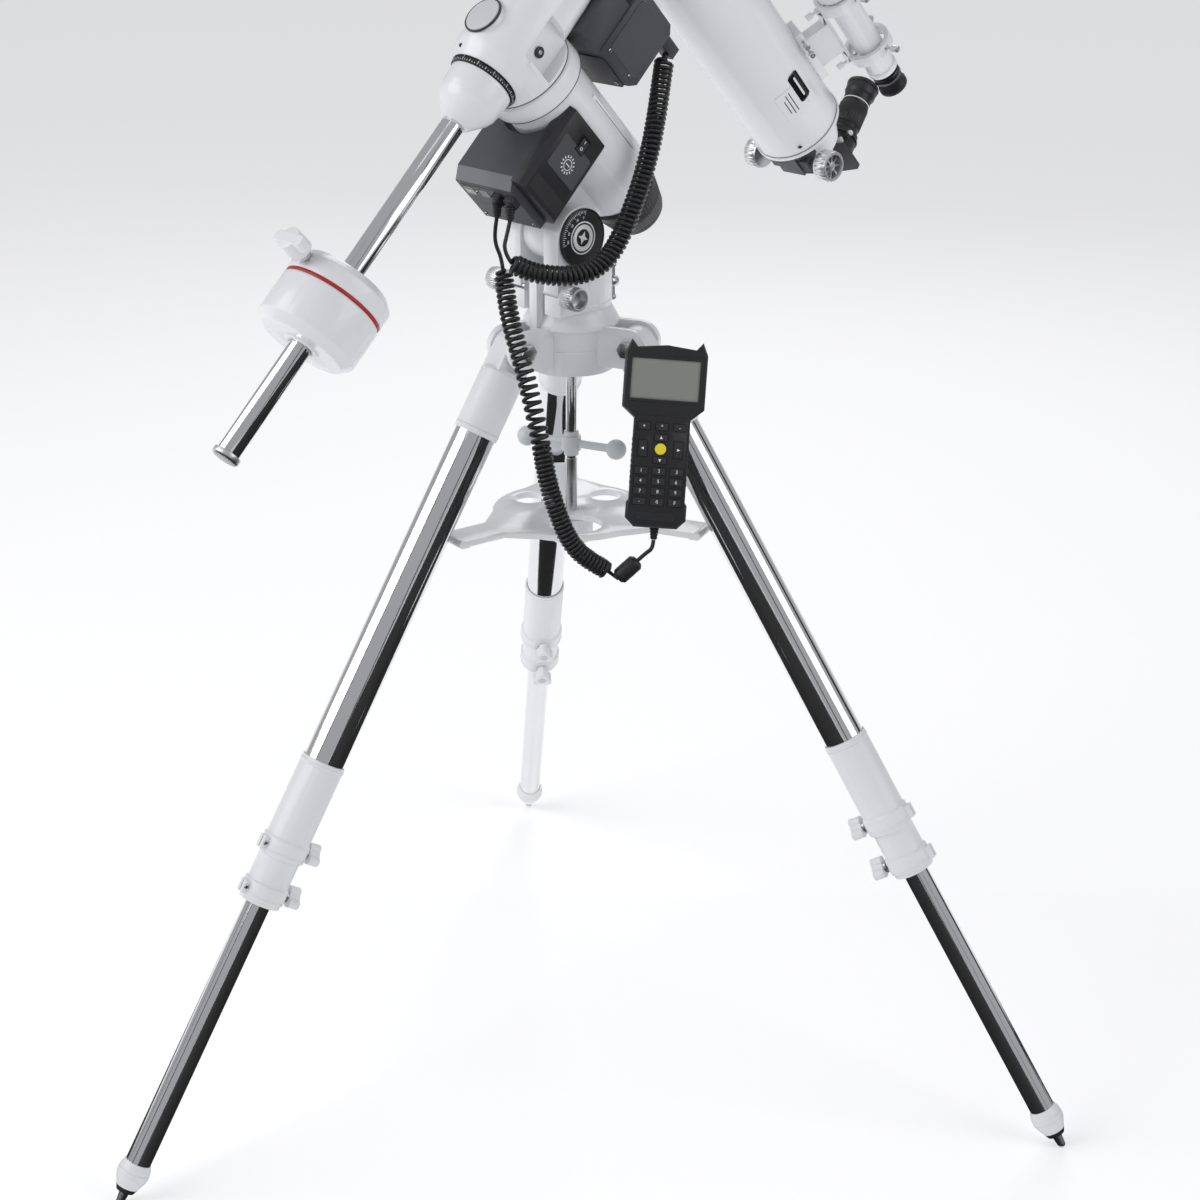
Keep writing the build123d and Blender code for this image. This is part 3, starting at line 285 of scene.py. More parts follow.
def gloss_black():
    return paint("black_gloss", (0.010, 0.010, 0.012), 0.16, 0.03, 600, spread=0.1, coat=0.3)


def dark_grey():
    return paint("grey_moulded", (0.058, 0.060, 0.068), 0.5, 0.5, 1700, spread=0.12,
                 wear=(0.10, 0.10, 0.11))


# A lighter grey for the motor box's upward chamfer. It is painted sheen standing for the glossy plastic's
# reflection there, not a moulded colour.
def painted_sheen_grey():
    return paint("grey_moulded_painted_sheen", (0.16, 0.165, 0.18), 0.42, 0.3, 1700, spread=0.08)


def rubber():
    return paint("cord_rubber", (0.020, 0.020, 0.022), 0.36, 0.15, 1100, spread=0.15)


def ink():
    return paint("printed_white", (0.82, 0.83, 0.84), 0.5, 0.02, 800, spread=0.03)


# Black print and dark joints. It is also used as painted shade in the screws' cross recesses.
def dark_ink_and_shade():
    return paint("printed_black_and_recess_shade", (0.02, 0.02, 0.022), 0.4, 0.02, 800, spread=0.1)


def screen_grey():
    return paint("screen_film", (0.235, 0.245, 0.225), 0.22, 0.01, 500, spread=0.03)


def yellow():
    return paint("yellow_key", (0.80, 0.68, 0.03), 0.4, 0.05, 900, spread=0.04)


def red():
    return paint("red_band", (0.45, 0.02, 0.02), 0.35, 0.05, 900, spread=0.08)


def coated_glass():
    """Thick glass with a faint green coating."""
    made, tree, shader = new_material("coated_glass")
    if tree is None:
        return made
    noise = add_node(tree, "ShaderNodeTexNoise", Scale=60.0)
    tree.links.new(
        ramp(tree, noise.outputs["Fac"], 0.3, 0.7, ((0.80, 0.90, 0.86), (0.86, 0.94, 0.90))),
        shader.inputs["Base Color"])
    shader.inputs["Roughness"].default_value = 0.02
    shader.inputs["Transmission Weight"].default_value = 0.9
    shader.inputs["IOR"].default_value = 1.5
    return made


# ---- piece makers ---------------------------------------------------------------
def finish_piece(name, mesh, body, material, bevel=0.0, smooth=True):
    """Turns a mesh into a piece that rides on its body."""
    piece = bpy.data.objects.new(name, mesh)
    bpy.context.scene.collection.objects.link(piece)
    mesh.materials.append(material)
    for face in mesh.polygons:
        face.use_smooth = smooth
    if bevel:
        edge = piece.modifiers.new("edge", "BEVEL")
        edge.width = bevel * MM
        edge.segments = 2
        edge.limit_method = "ANGLE"
        edge.angle_limit = math.radians(35)
        edge.harden_normals = True
    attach(piece, body)
    return piece


def mesh_from(name, build):
    """A mesh that a function fills through bmesh."""
    mesh = bpy.data.meshes.new(name)
    shape = bmesh.new()
    build(shape)
    bmesh.ops.recalc_face_normals(shape, faces=shape.faces)
    shape.to_mesh(mesh)
    shape.free()
    return mesh


def add_lathe(shape, outline, place, steps=64, teeth=None):
    """Adds a closed solid turned about Z from (radius, height) points in millimetres.
    teeth is (count, depth, radius): what lies outside that radius is knurled."""
    rings = []
    for radius, height in outline:
        ring = []
        for step in range(steps):
            angle = 2 * math.pi * step / steps
            here = radius
            if teeth and radius > teeth[2]:
                here = radius - teeth[1] * (0.5 + 0.5 * math.cos(teeth[0] * angle))
            ring.append(shape.verts.new(place @ Vector((
                here * math.cos(angle) * MM, here * math.sin(angle) * MM, height * MM))))
        rings.append(ring)
    for low, high in zip(rings, rings[1:] + rings[:1]):
        for step in range(steps):
            after = (step + 1) % steps
            shape.faces.new((low[step], low[after], high[after], high[step]))


def lathe(name, outline, place, body, material, steps=64, teeth=None, bevel=0.0):
    """A closed ring or solid turned about its place's Z; a radius of 0.01 closes the middle."""
    mesh = mesh_from(name, lambda shape: add_lathe(shape, outline, place, steps, teeth))
    return finish_piece(name, mesh, body, material, bevel)


def add_prism(shape, corners, low, high, place):
    """Adds an extruded outline, in millimetres in its place's X and Y."""
    bottom = [shape.verts.new(place @ Vector((x * MM, y * MM, low * MM))) for x, y in corners]
    top = [shape.verts.new(place @ Vector((x * MM, y * MM, high * MM))) for x, y in corners]
    shape.faces.new(bottom[::-1])
    shape.faces.new(top)
    for index in range(len(corners)):
        after = (index + 1) % len(corners)
        shape.faces.new((bottom[index], bottom[after], top[after], top[index]))


def prisms(name, outlines, low, high, place, body, material, bevel=0.15):
    """Several extruded outlines of one height as one piece."""
    def build(shape):
        for corners in outlines:
            add_prism(shape, corners, low, high, place)
    return finish_piece(name, mesh_from(name, build), body, material, bevel, smooth=False)


def rounded(x, y, wide, tall, radius, steps=5):
    """A rounded rectangle's outline about (x, y)."""
    corners = []
    for cx, cy, start in ((1, 1, 0), (-1, 1, 90), (-1, -1, 180), (1, -1, 270)):
        for step in range(steps + 1):
            a = math.radians(start + 90 * step / steps)
            corners.append((x + cx * (wide / 2 - radius) + radius * math.cos(a),
                            y + cy * (tall / 2 - radius) + radius * math.sin(a)))
    return corners


def radial_mark(x, y, angle, inner, outer, inner_half, outer_half):
    """The outline of a mark that points away from (x, y), with its half widths."""
    c, s = math.cos(angle), math.sin(angle)
    return [(x + inner * c + inner_half * s, y + inner * s - inner_half * c),
            (x + outer * c + outer_half * s, y + outer * s - outer_half * c),
            (x + outer * c - outer_half * s, y + outer * s + outer_half * c),
            (x + inner * c - inner_half * s, y + inner * s + inner_half * c)]


def frame_halves(x, y, wide, tall, bar):
    """A rectangular frame about (x, y), as an upper and a lower outline."""
    halves = []
    for side in (1, -1):
        w, t = wide / 2, side * tall / 2
        inner = t - side * bar
        outline = [(x, y + t), (x + w, y + t), (x + w, y), (x + w - bar, y),
                   (x + w - bar, y + inner), (x - w + bar, y + inner), (x - w + bar, y),
                   (x - w, y), (x - w, y + t)]
        halves.append(outline[::side])
    return halves


def ribbed_relief(name, place, ribs, widest, taper, pitch, start, end, body):
    """A cord's strain relief: ribs that get smaller along the cord."""
    depth = 0.9 if ribs > 4 else 0.8
    outline = [(2.6 if ribs > 4 else 1.9, start - 0.1 if ribs > 4 else 0)]
    for rib in range(ribs):
        radius = widest - taper * rib
        low = start + pitch * rib
        outline += [(radius - depth, low), (radius, low + 0.4), (radius, low + 1.5),
                    (radius - depth, low + 1.9)]
    outline += [(2.2, end), (1.9, end)]
    return lathe(name, outline, place, body, rubber(), steps=40)


def text_piece(name, words, size, place, body, material):
    """Raised generic figures on a dial or key."""
    data = bpy.data.curves.new(name, "FONT")
    data.body = words
    data.size = size * MM
    data.extrude = 0.05 * MM
    data.align_x = "CENTER"
    data.align_y = "CENTER"
    data.resolution_u = 3
    holder = bpy.data.objects.new(name + "_text", data)
    bpy.context.scene.collection.objects.link(holder)
    bpy.context.view_layer.update()
    mesh = bpy.data.meshes.new_from_object(
        holder.evaluated_get(bpy.context.evaluated_depsgraph_get()))
    bpy.data.objects.remove(holder)
    mesh.transform(place)
    mesh.materials.clear()
    return finish_piece(name, mesh, body, material, smooth=False)


def screw_heads(name, places, radius, body, material=None):
    """Pan-head screws, each standing on its place's Z; each cross recess is a flat dark cross of painted
    shade, not a cut.
    """
    def build(shape):
        for place in places:
            add_lathe(shape, [(0.01, 0), (radius, 0), (radius, 0.5), (radius * 0.7, 1.0),
                              (0.01, 1.15)], place, 20)
    heads = finish_piece(name, mesh_from(name, build), body, material or steel())
    # The cross recesses are painted shade: dark crosses laid on the heads where a real recess would be in
    # shade.
    shaded_recess_name = name + "_painted_recess_shade"
    half = radius * 0.6
    wide = radius * 0.16
    arms = [[(-half, -wide), (half, -wide), (half, wide), (-half, wide)],
            [(-wide, -half), (wide, -half), (wide, half), (-wide, half)]]

    def build_shaded_recesses(shape):
        for place in places:
            for corners in arms:
                add_prism(shape, corners, 0.6, 1.22, place)
    finish_piece(shaded_recess_name, mesh_from(shaded_recess_name, build_shaded_recesses), body, dark_ink_and_shade())
    return heads


# ---- cords ----------------------------------------------------------------------
WIRE_R = 1.95
COIL_A_ROUTE = [
    (0.0340, 0.0881, 1.0337), (0.0415, 0.0770, 1.0170), (0.0500, 0.0643, 0.9964),
    (0.0600, 0.0468, 0.9665), (0.0650, 0.0303, 0.9368), (0.0700, 0.0100, 0.9078),
    (0.0725, -0.0120, 0.8780), (0.0700, -0.0340, 0.8610), (0.0610, -0.0570, 0.8570),
    (0.0500, -0.0760, 0.8590), (0.0400, -0.0930, 0.8640), (0.0320, -0.1060, 0.8730),
]
LEAD_A_ROUTE = [
    (0.0320, -0.1060, 0.8730), (0.0265, -0.1110, 0.8840), (0.0250, -0.1045, 0.8980),
    (0.0250, -0.1005, 0.9108),
]
LEAD_B_ROUTE = [
    (0.0070, -0.1005, 0.9108), (0.0050, -0.1015, 0.8990), (0.0045, -0.1010, 0.8850),
    (0.00855, -0.096853, 0.8715), (0.0117, -0.0981, 0.8610),
]
COIL_B_ROUTE = [
    (0.0117, -0.0981, 0.8610), (0.0165, -0.1000, 0.8450), (0.0265, -0.1050, 0.8260),
    (0.0384, -0.1092, 0.8065), (0.0522, -0.1121, 0.7842), (0.0646, -0.1149, 0.7616),
    (0.0778, -0.1185, 0.7366), (0.0888, -0.1214, 0.7100), (0.0985, -0.1243, 0.6849),
    (0.1090, -0.1226, 0.6575), (0.1187, -0.1170, 0.6298), (0.1271, -0.1043, 0.6098),
    (0.1385, -0.0848, 0.5954),
]
BEAD_START = Vector((0.1472, -0.0803, 0.5890))
TAIL_ROUTE = [
    (0.1572, -0.0639, 0.6055), (0.1612, -0.0574, 0.6121), (0.1643, -0.0513, 0.6160),
    (0.1628, -0.04911, 0.62356),
]


def route_line(points):
    """The smooth line of a route, read from its NURBS spline."""
    data = bpy.data.curves.new("route", "CURVE")
    data.dimensions = "3D"
    spline = data.splines.new("NURBS")
    spline.points.add(len(points) - 1)
    for point, at in zip(spline.points, points):
        point.co = (*at, 1)
    spline.order_u = 3
    spline.use_endpoint_u = True
    spline.resolution_u = 16
    holder = bpy.data.objects.new("route", data)
    bpy.context.scene.collection.objects.link(holder)
    bpy.context.view_layer.update()
    mesh = bpy.data.meshes.new_from_object(
        holder.evaluated_get(bpy.context.evaluated_depsgraph_get()))
    line = [vertex.co.copy() for vertex in mesh.vertices]
    bpy.data.meshes.remove(mesh)
    bpy.data.objects.remove(holder)
    return line


def even_steps(line, step):
    """Points along a line at even distances, each with its distance."""
    spans = [(b - a).length for a, b in zip(line, line[1:])]
    total = sum(spans)
    count = max(2, round(total / step))
    found = []
    index, passed = 0, 0.0
    for k in range(count + 1):
        want = total * k / count
        while index < len(spans) - 1 and passed + spans[index] < want:
            passed += spans[index]
            index += 1
        share = (want - passed) / spans[index]
        found.append((line[index].lerp(line[index + 1], min(1.0, share)), want))
    return found, total


def helix(line, radius, pitch_at, lead_in=0.5, lead_out=0.5):
    """A helix round a line; pitch_at gives the pitch from the share of the way along."""
    samples, total = even_steps(line, 0.00022)
    normal = Vector((0, 0, 1)).cross(samples[1][0] - samples[0][0]).normalized()
    phase = 0.0
    turns = sum((b[1] - a[1]) / (pitch_at(a[1] / total) * MM) for a, b in zip(samples, samples[1:]))
    path = [samples[0][0]]
    kept = 0.0
    for (here, at), (after, next_at) in zip(samples, samples[1:]):
        along = (after - here).normalized()
        normal = (normal - along * normal.dot(along)).normalized()
        across = along.cross(normal)
        phase += (next_at - at) / (pitch_at(at / total) * MM)
        ease = min(1.0, phase / lead_in, (turns - phase) / lead_out)
        reach = radius * MM * math.sin(max(0.0, ease) * math.pi / 2)
        if phase - kept >= 1 / 14:
            kept = phase
            angle = 2 * math.pi * phase
            path.append(here + (normal * math.cos(angle) + across * math.sin(angle)) * reach)
    path.append(samples[-1][0])
    return path


def tube_along(name, path):
    """A round mesh tube that follows a path."""
    data = bpy.data.curves.new(name, "CURVE")
    data.dimensions = "3D"
    spline = data.splines.new("POLY")
    spline.points.add(len(path) - 1)
    for point, at in zip(spline.points, path):
        point.co = (*at, 1)
    data.bevel_depth = WIRE_R * MM
    data.bevel_resolution = 2
    data.use_fill_caps = True
    holder = bpy.data.objects.new(name + "_curve", data)
    bpy.context.scene.collection.objects.link(holder)
    bpy.context.view_layer.update()
    mesh = bpy.data.meshes.new_from_object(
        holder.evaluated_get(bpy.context.evaluated_depsgraph_get()))
    bpy.data.objects.remove(holder)
    mesh.materials.clear()
    piece = bpy.data.objects.new(name, mesh)
    bpy.context.scene.collection.objects.link(piece)
    mesh.materials.append(rubber())
    for face in mesh.polygons:
        face.use_smooth = True
    return piece


def path_length(path):
    return sum((b - a).length for a, b in zip(path, path[1:]))


def cords():
    """The two curly cords with their leads, from plug to plug."""
    coil_a = route_line(COIL_A_ROUTE)
    lead_a = route_line(LEAD_A_ROUTE)
    path = helix(coil_a, 7.9, lambda share: 4.9) + lead_a[1:]
    cord_a = tube_along("cord_a", path)
    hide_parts("cord_a_coil", "cord_a_lead")
    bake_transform(cord_a)

    lead_b = route_line(LEAD_B_ROUTE)
    piece = tube_along("cord_b_upper_lead", lead_b)
    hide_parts("cord_b_lead")
    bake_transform(piece)

    def pitch_b(share):
        """Stretched near its middle, and tight at the top and towards the bottom."""
        if share < 0.10:
            return 5.2
        if share < 0.48:
            return 5.2 + 3.2 * (share - 0.10) / 0.38
        if share < 0.58:
            return 8.4 - 4.3 * (share - 0.48) / 0.10
        return 4.1

    whole = helix(route_line(COIL_B_ROUTE), 7.5, pitch_b, lead_in=1.0)
    cut = int(len(whole) * 0.6)
    upper = whole[:cut + 1]
    piece = tube_along("cord_b_upper_coil", upper)
    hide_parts("cord_b_coil")
    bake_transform(piece)

    tail = route_line(TAIL_ROUTE)
    lower = whole[cut:] + [BEAD_START] + tail
    piece = tube_along("cord_b_lower_coil", lower)
    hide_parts("cord_b_tail")
    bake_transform(piece)
    print("cord lengths", [round(path_length(p), 4) for p in (path, lead_b, upper, lower)])


make_camera()
cords()
studio()


# ---- CAD nodes: rounded edges and finishes --------------------------------------
def soften(node, material, bevel):
    """Gives a CAD node its material and small rounded edges."""
    piece = NODES[node]
    piece.data.materials.clear()
    piece.data.materials.append(material)
    for face in piece.data.polygons:
        face.use_smooth = True
    if bevel:
        weld = piece.modifiers.new("weld", "WELD")
        weld.merge_threshold = 1e-6
        edge = piece.modifiers.new("edge", "BEVEL")
        edge.width = bevel * MM
        edge.segments = 2
        edge.limit_method = "ANGLE"
        edge.angle_limit = math.radians(32)
        edge.harden_normals = True


def repaint(node, material, place, test):
    """Gives the faces of a node that pass a test, in a place's millimetres, another material."""
    piece = NODES[node]
    piece.data.materials.append(material)
    index = len(piece.data.materials) - 1
    back = place.inverted()
    for face in piece.data.polygons:
        x, y, z = (back @ face.center) / MM
        if test(x, y, z):
            face.material_index = index


FINISHES = [
    (white, 0.7, ["hub", "mount_base", "ra_housing", "dec_housing", "counterweight", "focuser",
                  "saddle", "tube_rings"]),
    (white, 0.35, ["spreader_plate", "tube", "dew_shield", "finder_bracket", "finder",
                   "shaft_cone"]),
    (white_plastic, 0.5, ["tension_knob", "weight_knob"]),
    (pale_grey, 0.4, ["tee_handle"]),
    (chrome, 0.3, ["centre_rod", "weight_shaft"]),
    (steel, 0.3, ["hinge_bolts", "latitude_screw"]),
    (silver, 0.3, ["azimuth_knobs", "focus_knobs", "drawtube"]),
    (black, 0.5, ["latitude_dial", "ra_end_cap", "power_switch", "handset_holder",
                  "cord_b_bead", "eyepiece", "cord_a_plug", "handset_case", "diagonal"]),
    (dark_grey, 0.6, ["motor_box", "dec_motor_cover"]),
    (black, 0.25, ["handset_keys"]),
    (coated_glass, 0.0, ["lens"]),
]
for number in LEGS:
    FINISHES += [
        (white_plastic, 0.6, [f"leg_{number}_top", f"leg_{number}_sleeve"]),
        (chrome, 0.0, [f"leg_{number}_tube", f"leg_{number}_lower"]),
        (white_plastic, 0.5, [f"leg_{number}_upper_knob", f"leg_{number}_lower_knob"]),
    ]
for finish, edge_width, names in FINISHES:
    for node_name in names:
        soften(node_name, finish(), edge_width)

for number in LEGS:
    leg = leg_place(number)
    lower = f"leg_{number}_lower"
    repaint(lower, white_plastic(), leg,
            lambda x, y, z: z < -861.5 and math.hypot(x, y) > 11.2)
    repaint(lower, steel(), leg, lambda x, y, z: z < -893.1)
    for knob in ("upper_knob", "lower_knob"):
        repaint(f"leg_{number}_{knob}", steel(), leg, lambda x, y, z: x > -26.9)
repaint("weight_knob", chrome(), HEAD, lambda x, y, z: y > -57.5)
repaint("weight_shaft", silver(), HEAD, lambda x, y, z: z < -452.1)
repaint("shaft_cone", black(), HEAD, lambda x, y, z: -44.1 < z < -38.5 and math.hypot(x, y) > 17)
repaint("dec_housing", pale_grey(), HEAD, lambda x, y, z: y < -40.05)
repaint("dec_housing", chrome(), HEAD, lambda x, y, z: y > 54)
repaint("saddle", black(), HEAD, lambda x, y, z: x > 34.2)
repaint("tube_rings", silver(), HEAD, lambda x, y, z: x > 52 and z > TUBE_AXIS_D + 7.05)
repaint("focuser", dark_grey(), HEAD,
        lambda x, y, z: z < TUBE_AXIS_D - 20 and y > 366 and math.hypot(x, z - TUBE_AXIS_D) > 20)
repaint("finder", black(), HEAD, lambda x, y, z: y > 372.1)
repaint("finder", coated_glass(), HEAD, lambda x, y, z: 243.8 < y < 244.2 or 395.8 < y < 396.2)
repaint("finder_bracket", silver(), HEAD,
        lambda x, y, z: math.hypot(x - 52, z - 294) > 24.05 and math.hypot(x, z - 205) > 78
        or math.hypot(x - 52, z - 294) < 19.4 and z > 270)
repaint("handset_case", screen_grey(), HANDSET,
        lambda x, y, z: 12.7 < z < 13.45 and abs(x) < 32.1 and 30.9 < y < 69.1)
repaint("motor_box", black(), HEAD, lambda x, y, z: z < -104.05)
repaint("motor_box", black(), HEAD, lambda x, y, z: x > 30.02)
repaint("handset_keys", yellow(), HANDSET,
        lambda x, y, z: math.hypot(x, y + 14) < 5.3)
repaint("lens", black(), HEAD,
        lambda x, y, z: math.hypot(x, z - TUBE_AXIS_D) > 42.3)


# ---- detail pieces: tripod ------------------------------------------------------
def tripod_details():
    thread = [(5.0, 601.5)]
    for turn in range(42):
        thread += [(5.35, 601.5 + turn * 1.25), (5.75, 602.1 + turn * 1.25)]
    thread += [(5.35, 654.0), (5.0, 654.0)]
    lathe("rod_thread", thread, Matrix(), "rod", steel(), steps=40)
    lathe("tension_ribs", [(19.8, 571), (21.7, 572.2), (21.7, 589), (19.8, 590.2)], Matrix(),
          "tension_knob", white_plastic(), steps=144, teeth=(24, 1.5, 20.4))
    lathe("hub_seam", [(41.0, 770.2), (41.35, 770.4), (41.35, 771.6), (41.0, 771.8)], Matrix(),
          "root", white(), steps=96)
    lathe("base_ring", [(38.4, 814), (39.1, 814.3), (39.1, 816.2), (38.4, 816.5)], Matrix(),
          "azimuth", white(), steps=96)
    for number in LEGS:
        leg = leg_place(number)
        body = f"leg_{number}"
        for at, reach in ((526, 23.5), (572, 22.4)):
            lug = leg @ shift(0, 0, -at)
            prisms(f"{body}_clamp_lug_{at}",
                   [[(reach - 2, -4.5), (reach + 5.0, -4.5), (reach + 5.0, -0.6),
                     (reach - 2, -0.6)],
                    [(reach - 2, 0.6), (reach + 5.0, 0.6), (reach + 5.0, 4.5),
                     (reach - 2, 4.5)]],
                   -6.5, 6.5, lug, body, white_plastic(), bevel=0.6)
            lathe(f"{body}_clamp_band_{at}",
                  [(reach - 0.4, -5.2), (reach + 0.3, -4.9), (reach + 0.3, -4.1),
                   (reach - 0.4, -3.8)], lug, body, white_plastic(), steps=72)
        screw_heads(f"{body}_clamp_screws",
                    [leg @ shift(reach + 1.8, 4.5, -at) @ turn_about("X", -90)
                     for at, reach in ((526, 23.5), (572, 22.4))], 2.4, body)
        lathe(f"{body}_top_band",
              [(21.6, -86.6), (22.1, -86.3), (22.1, -84.6), (21.6, -84.3)], leg,
              body, white_plastic(), steps=72)
        lathe(f"{body}_sleeve_band",
              [(21.6, -440.4), (22.1, -440.1), (22.1, -437.4), (21.6, -437.1)], leg,
              body, white_plastic(), steps=72)
        lathe(f"{body}_foot_ring",
              [(15.2, -875.5), (16.0, -875.0), (16.0, -871.0), (15.2, -870.5)], leg,
              body + "_lower", white_plastic(), steps=48)
        for at, body_name in ((526, "upper_knob"), (572, "lower_knob")):
            cap = leg @ shift(-39, 0, -at) @ turn_about("Y", -90)
            lathe(f"{body}_{body_name}_cap", [(0.01, -0.5), (4.2, -0.5), (4.2, 0.4), (3.4, 0.9),
                                             (0.01, 0.9)], cap, f"{body}_{body_name}",
                  pale_grey(), steps=32)


# ---- detail pieces: mount -------------------------------------------------------
def head_side(x, r, d):
    """A place on a face that looks along X: its X follows the polar axis, its Y declination."""
    return HEAD @ shift(x, r, d) @ look_along_x()


def latitude_dial_marks():
    dial = shift(39, -22, 883.5) @ look_along_x()
    lines = [radial_mark(0, 0, math.radians(82 + 4.5 * step), 23.2 if step % 4 else 21.5, 25.6,
                         0.22, 0.22) for step in range(25)]
    prisms("dial_ticks", lines, -0.02, 0.14, dial, "azimuth", ink(), bevel=0)
    for index, words in enumerate(("0", "20", "40", "60", "80")):
        angle = math.radians(82 + 24 * index + 6)
        text_piece(f"dial_figure_{words}", words, 3.4,
                   dial @ shift(18.9 * math.cos(angle), 18.9 * math.sin(angle), 0.05)
                   @ turn_about("Z", math.degrees(angle) - 90), "azimuth", ink())
    for name, outer, inner in (("dial_ring", 15.6, 14.2), ("dial_disc_ring", 12.6, 8.2)):
        lathe(name, [(inner, -0.02), (outer, -0.02), (outer, 0.16), (inner, 0.16)], dial,
              "azimuth", ink(), steps=72)
    prisms("dial_star", [[(6.4 * (1 if k % 2 else 0.42) * math.cos(math.radians(45 * k + 22.5)),
                           6.4 * (1 if k % 2 else 0.42) * math.sin(math.radians(45 * k + 22.5)))
                          for k in range(8)]], -0.02, 0.16, dial, "azimuth", ink(),
           bevel=0)
    lathe("dial_rim", [(26.4, -0.6), (27.6, -0.6), (27.6, 0.25), (26.6, 0.35)], dial,
          "azimuth", gloss_black(), steps=96)


def knurled_screws():
    for side, turn in (("right", 90), ("left", -90)):
        place = Matrix.Translation((0, -0.046, 0.832)) @ turn_about("Y", turn)
        lathe(f"azimuth_knurl_{side}",
              [(9.6, 44.0), (11.3, 45.0), (11.3, 57.0), (9.6, 58.0)], place,
              "azimuth_knobs", silver(), steps=192, teeth=(32, 0.9, 10.4))


def setting_circle():
    """White divisions and figures on the black circle at the declination axis."""
    def build(shape):
        for step in range(72):
            low = -41.9 if step % 3 else -40.6
            place = HEAD @ turn_about("Z", 5 * step) @ shift(32.4, 0, 0)
            corners = [(0, -0.22), (0.28, -0.22), (0.28, 0.22), (0, 0.22)]
            add_prism(shape, corners, -43.0, low, place)
    finish_piece("circle_ticks", mesh_from("circle_ticks", build), "dec", ink(),
                 smooth=False)
    for index in range(12):
        place = HEAD @ turn_about("Z", 30 * index) @ shift(32.55, 0, -40.0) @ look_along_x()
        text_piece(f"circle_figure_{index}", str((index * 3) % 10), 2.5, place, "dec",
                   ink())
    lathe("circle_lip", [(32.3, -38.9), (33.4, -38.9), (33.4, -38.35), (32.3, -38.35)], HEAD,
          "dec", gloss_black(), steps=96)


def drive_box_details():
    low, high = -8.29, 12.5
    size = math.hypot(low, high)
    up = Vector((0, low / size, high / size))
    out = Vector((0, -high / size, low / size))
    band = HEAD @ shift(-8, 70.05, -97.5) @ columns(Vector((1, 0, 0)), up, out, Vector((0, 0, 0)))
    # The lighter band on the chamfer is painted sheen: it stands for the glossy box reflecting the light
    # above it.
    prisms("box_painted_sheen_band", [rounded(0, 0, 75.4, 14.0, 0.8)], -0.6, 0.5, band, "altitude",
           painted_sheen_grey(), bevel=0.3)
    under = HEAD @ shift(0, 0, -104) @ turn_about("X", 180)
    prisms("box_port_plate", [rounded(-8, -86, 70, 17, 1.5)], -0.1, 0.5, under, "altitude",
           dark_grey(), bevel=0.2)
    prisms("box_ports", [rounded(-34, -86, 14, 12, 0.8), rounded(-14, -86, 11, 10, 0.8)],
           0.3, 0.75, under, "altitude", gloss_black(), bevel=0.1)
    prisms("box_port_pins", [[(-39 + 2 * k, -89.5), (-38.2 + 2 * k, -89.5),
                              (-38.2 + 2 * k, -84), (-39 + 2 * k, -84)] for k in range(6)],
           0.5, 0.95, under, "altitude", steel(), bevel=0)
    screw_heads("box_under_screws", [under @ shift(-41, -123, 0), under @ shift(25, -123, 0),
                                     under @ shift(-24, -86, 0.4)], 2.0, "altitude")
    side = head_side(46, 0, 0)
    prisms("cover_panel", [rounded(98, -47, 44, 34, 2)], -0.05, 0.45, side, "altitude",
           dark_grey(), bevel=0.25)
    prisms("cover_foot", [rounded(97, -85, 46, 15, 1.5)], -0.05, 0.35, side, "altitude",
           black(), bevel=0.25)
    teeth = [radial_mark(98, -50, 2 * math.pi * step / 14, 6.6, 8.8, 0.62, 0.55)
             for step in range(14)]
    prisms("cover_emblem_teeth", teeth, 0.4, 0.62, side, "altitude", ink(), bevel=0)
    lathe("cover_emblem_ring", [(4.6, 0.4), (5.3, 0.4), (5.3, 0.62), (4.6, 0.62)],
          side @ shift(98, -50, 0), "altitude", ink(), steps=48)
    prisms("cover_emblem_bars", [rounded(98, -50, 6.4, 0.9, 0.3)], 0.4, 0.62, side, "altitude",
           ink(), bevel=0)
    prisms("switch_bezel", frame_halves(100, -26, 12.6, 16.6, 1.1), -0.05, 0.7, side, "altitude",
           gloss_black(), bevel=0.15)
    prisms("switch_mark", [rounded(100, -22.5, 0.7, 3.0, 0.3)], 1.45, 1.62, side, "power_switch",
           ink(), bevel=0)
    lathe("switch_mark_ring", [(1.0, 1.45), (1.6, 1.45), (1.6, 1.62), (1.0, 1.62)],
          side @ shift(100, -29.5, 0), "power_switch", ink(), steps=24)
    for index, x in enumerate((7, 25)):
        corner = HEAD @ Vector((x * MM, 86 * MM, -110 * MM))
        ribs = Matrix.Translation(corner) @ turn_about("X", 180)
        ribbed_relief(f"port_relief_{index}", ribs, 5, 4.9, 0.30, 2.5, 1.6, 14.2, "altitude")
        prisms(f"port_hood_{index}", [rounded(x, -86, 11.5, 12.5, 2)], 0.0, 6.5, under,
               "altitude", black(), bevel=0.6)
    screw_heads("dec_cover_screws",
                [head_side(42, r, d) for r, d in ((68, 58), (68, 118), (104, 58))], 2.2, "ra")
    prisms("dec_cover_rib", [rounded(89, 88, 46, 56, 4)], -0.05, 0.6, head_side(42, 0, 0), "ra",
           dark_grey(), bevel=0.3)
    under_dec = HEAD @ shift(0, 0, 52) @ turn_about("X", 180)
    prisms("dec_cover_base_plate", [rounded(2, -93, 66, 42, 5)], -0.05, 0.7, under_dec, "ra",
           black(), bevel=0.3)
    screw_heads("dec_cover_base_screws", [under_dec @ shift(x, -108, 0.7) for x in (-24, 28)],
                2.2, "ra")


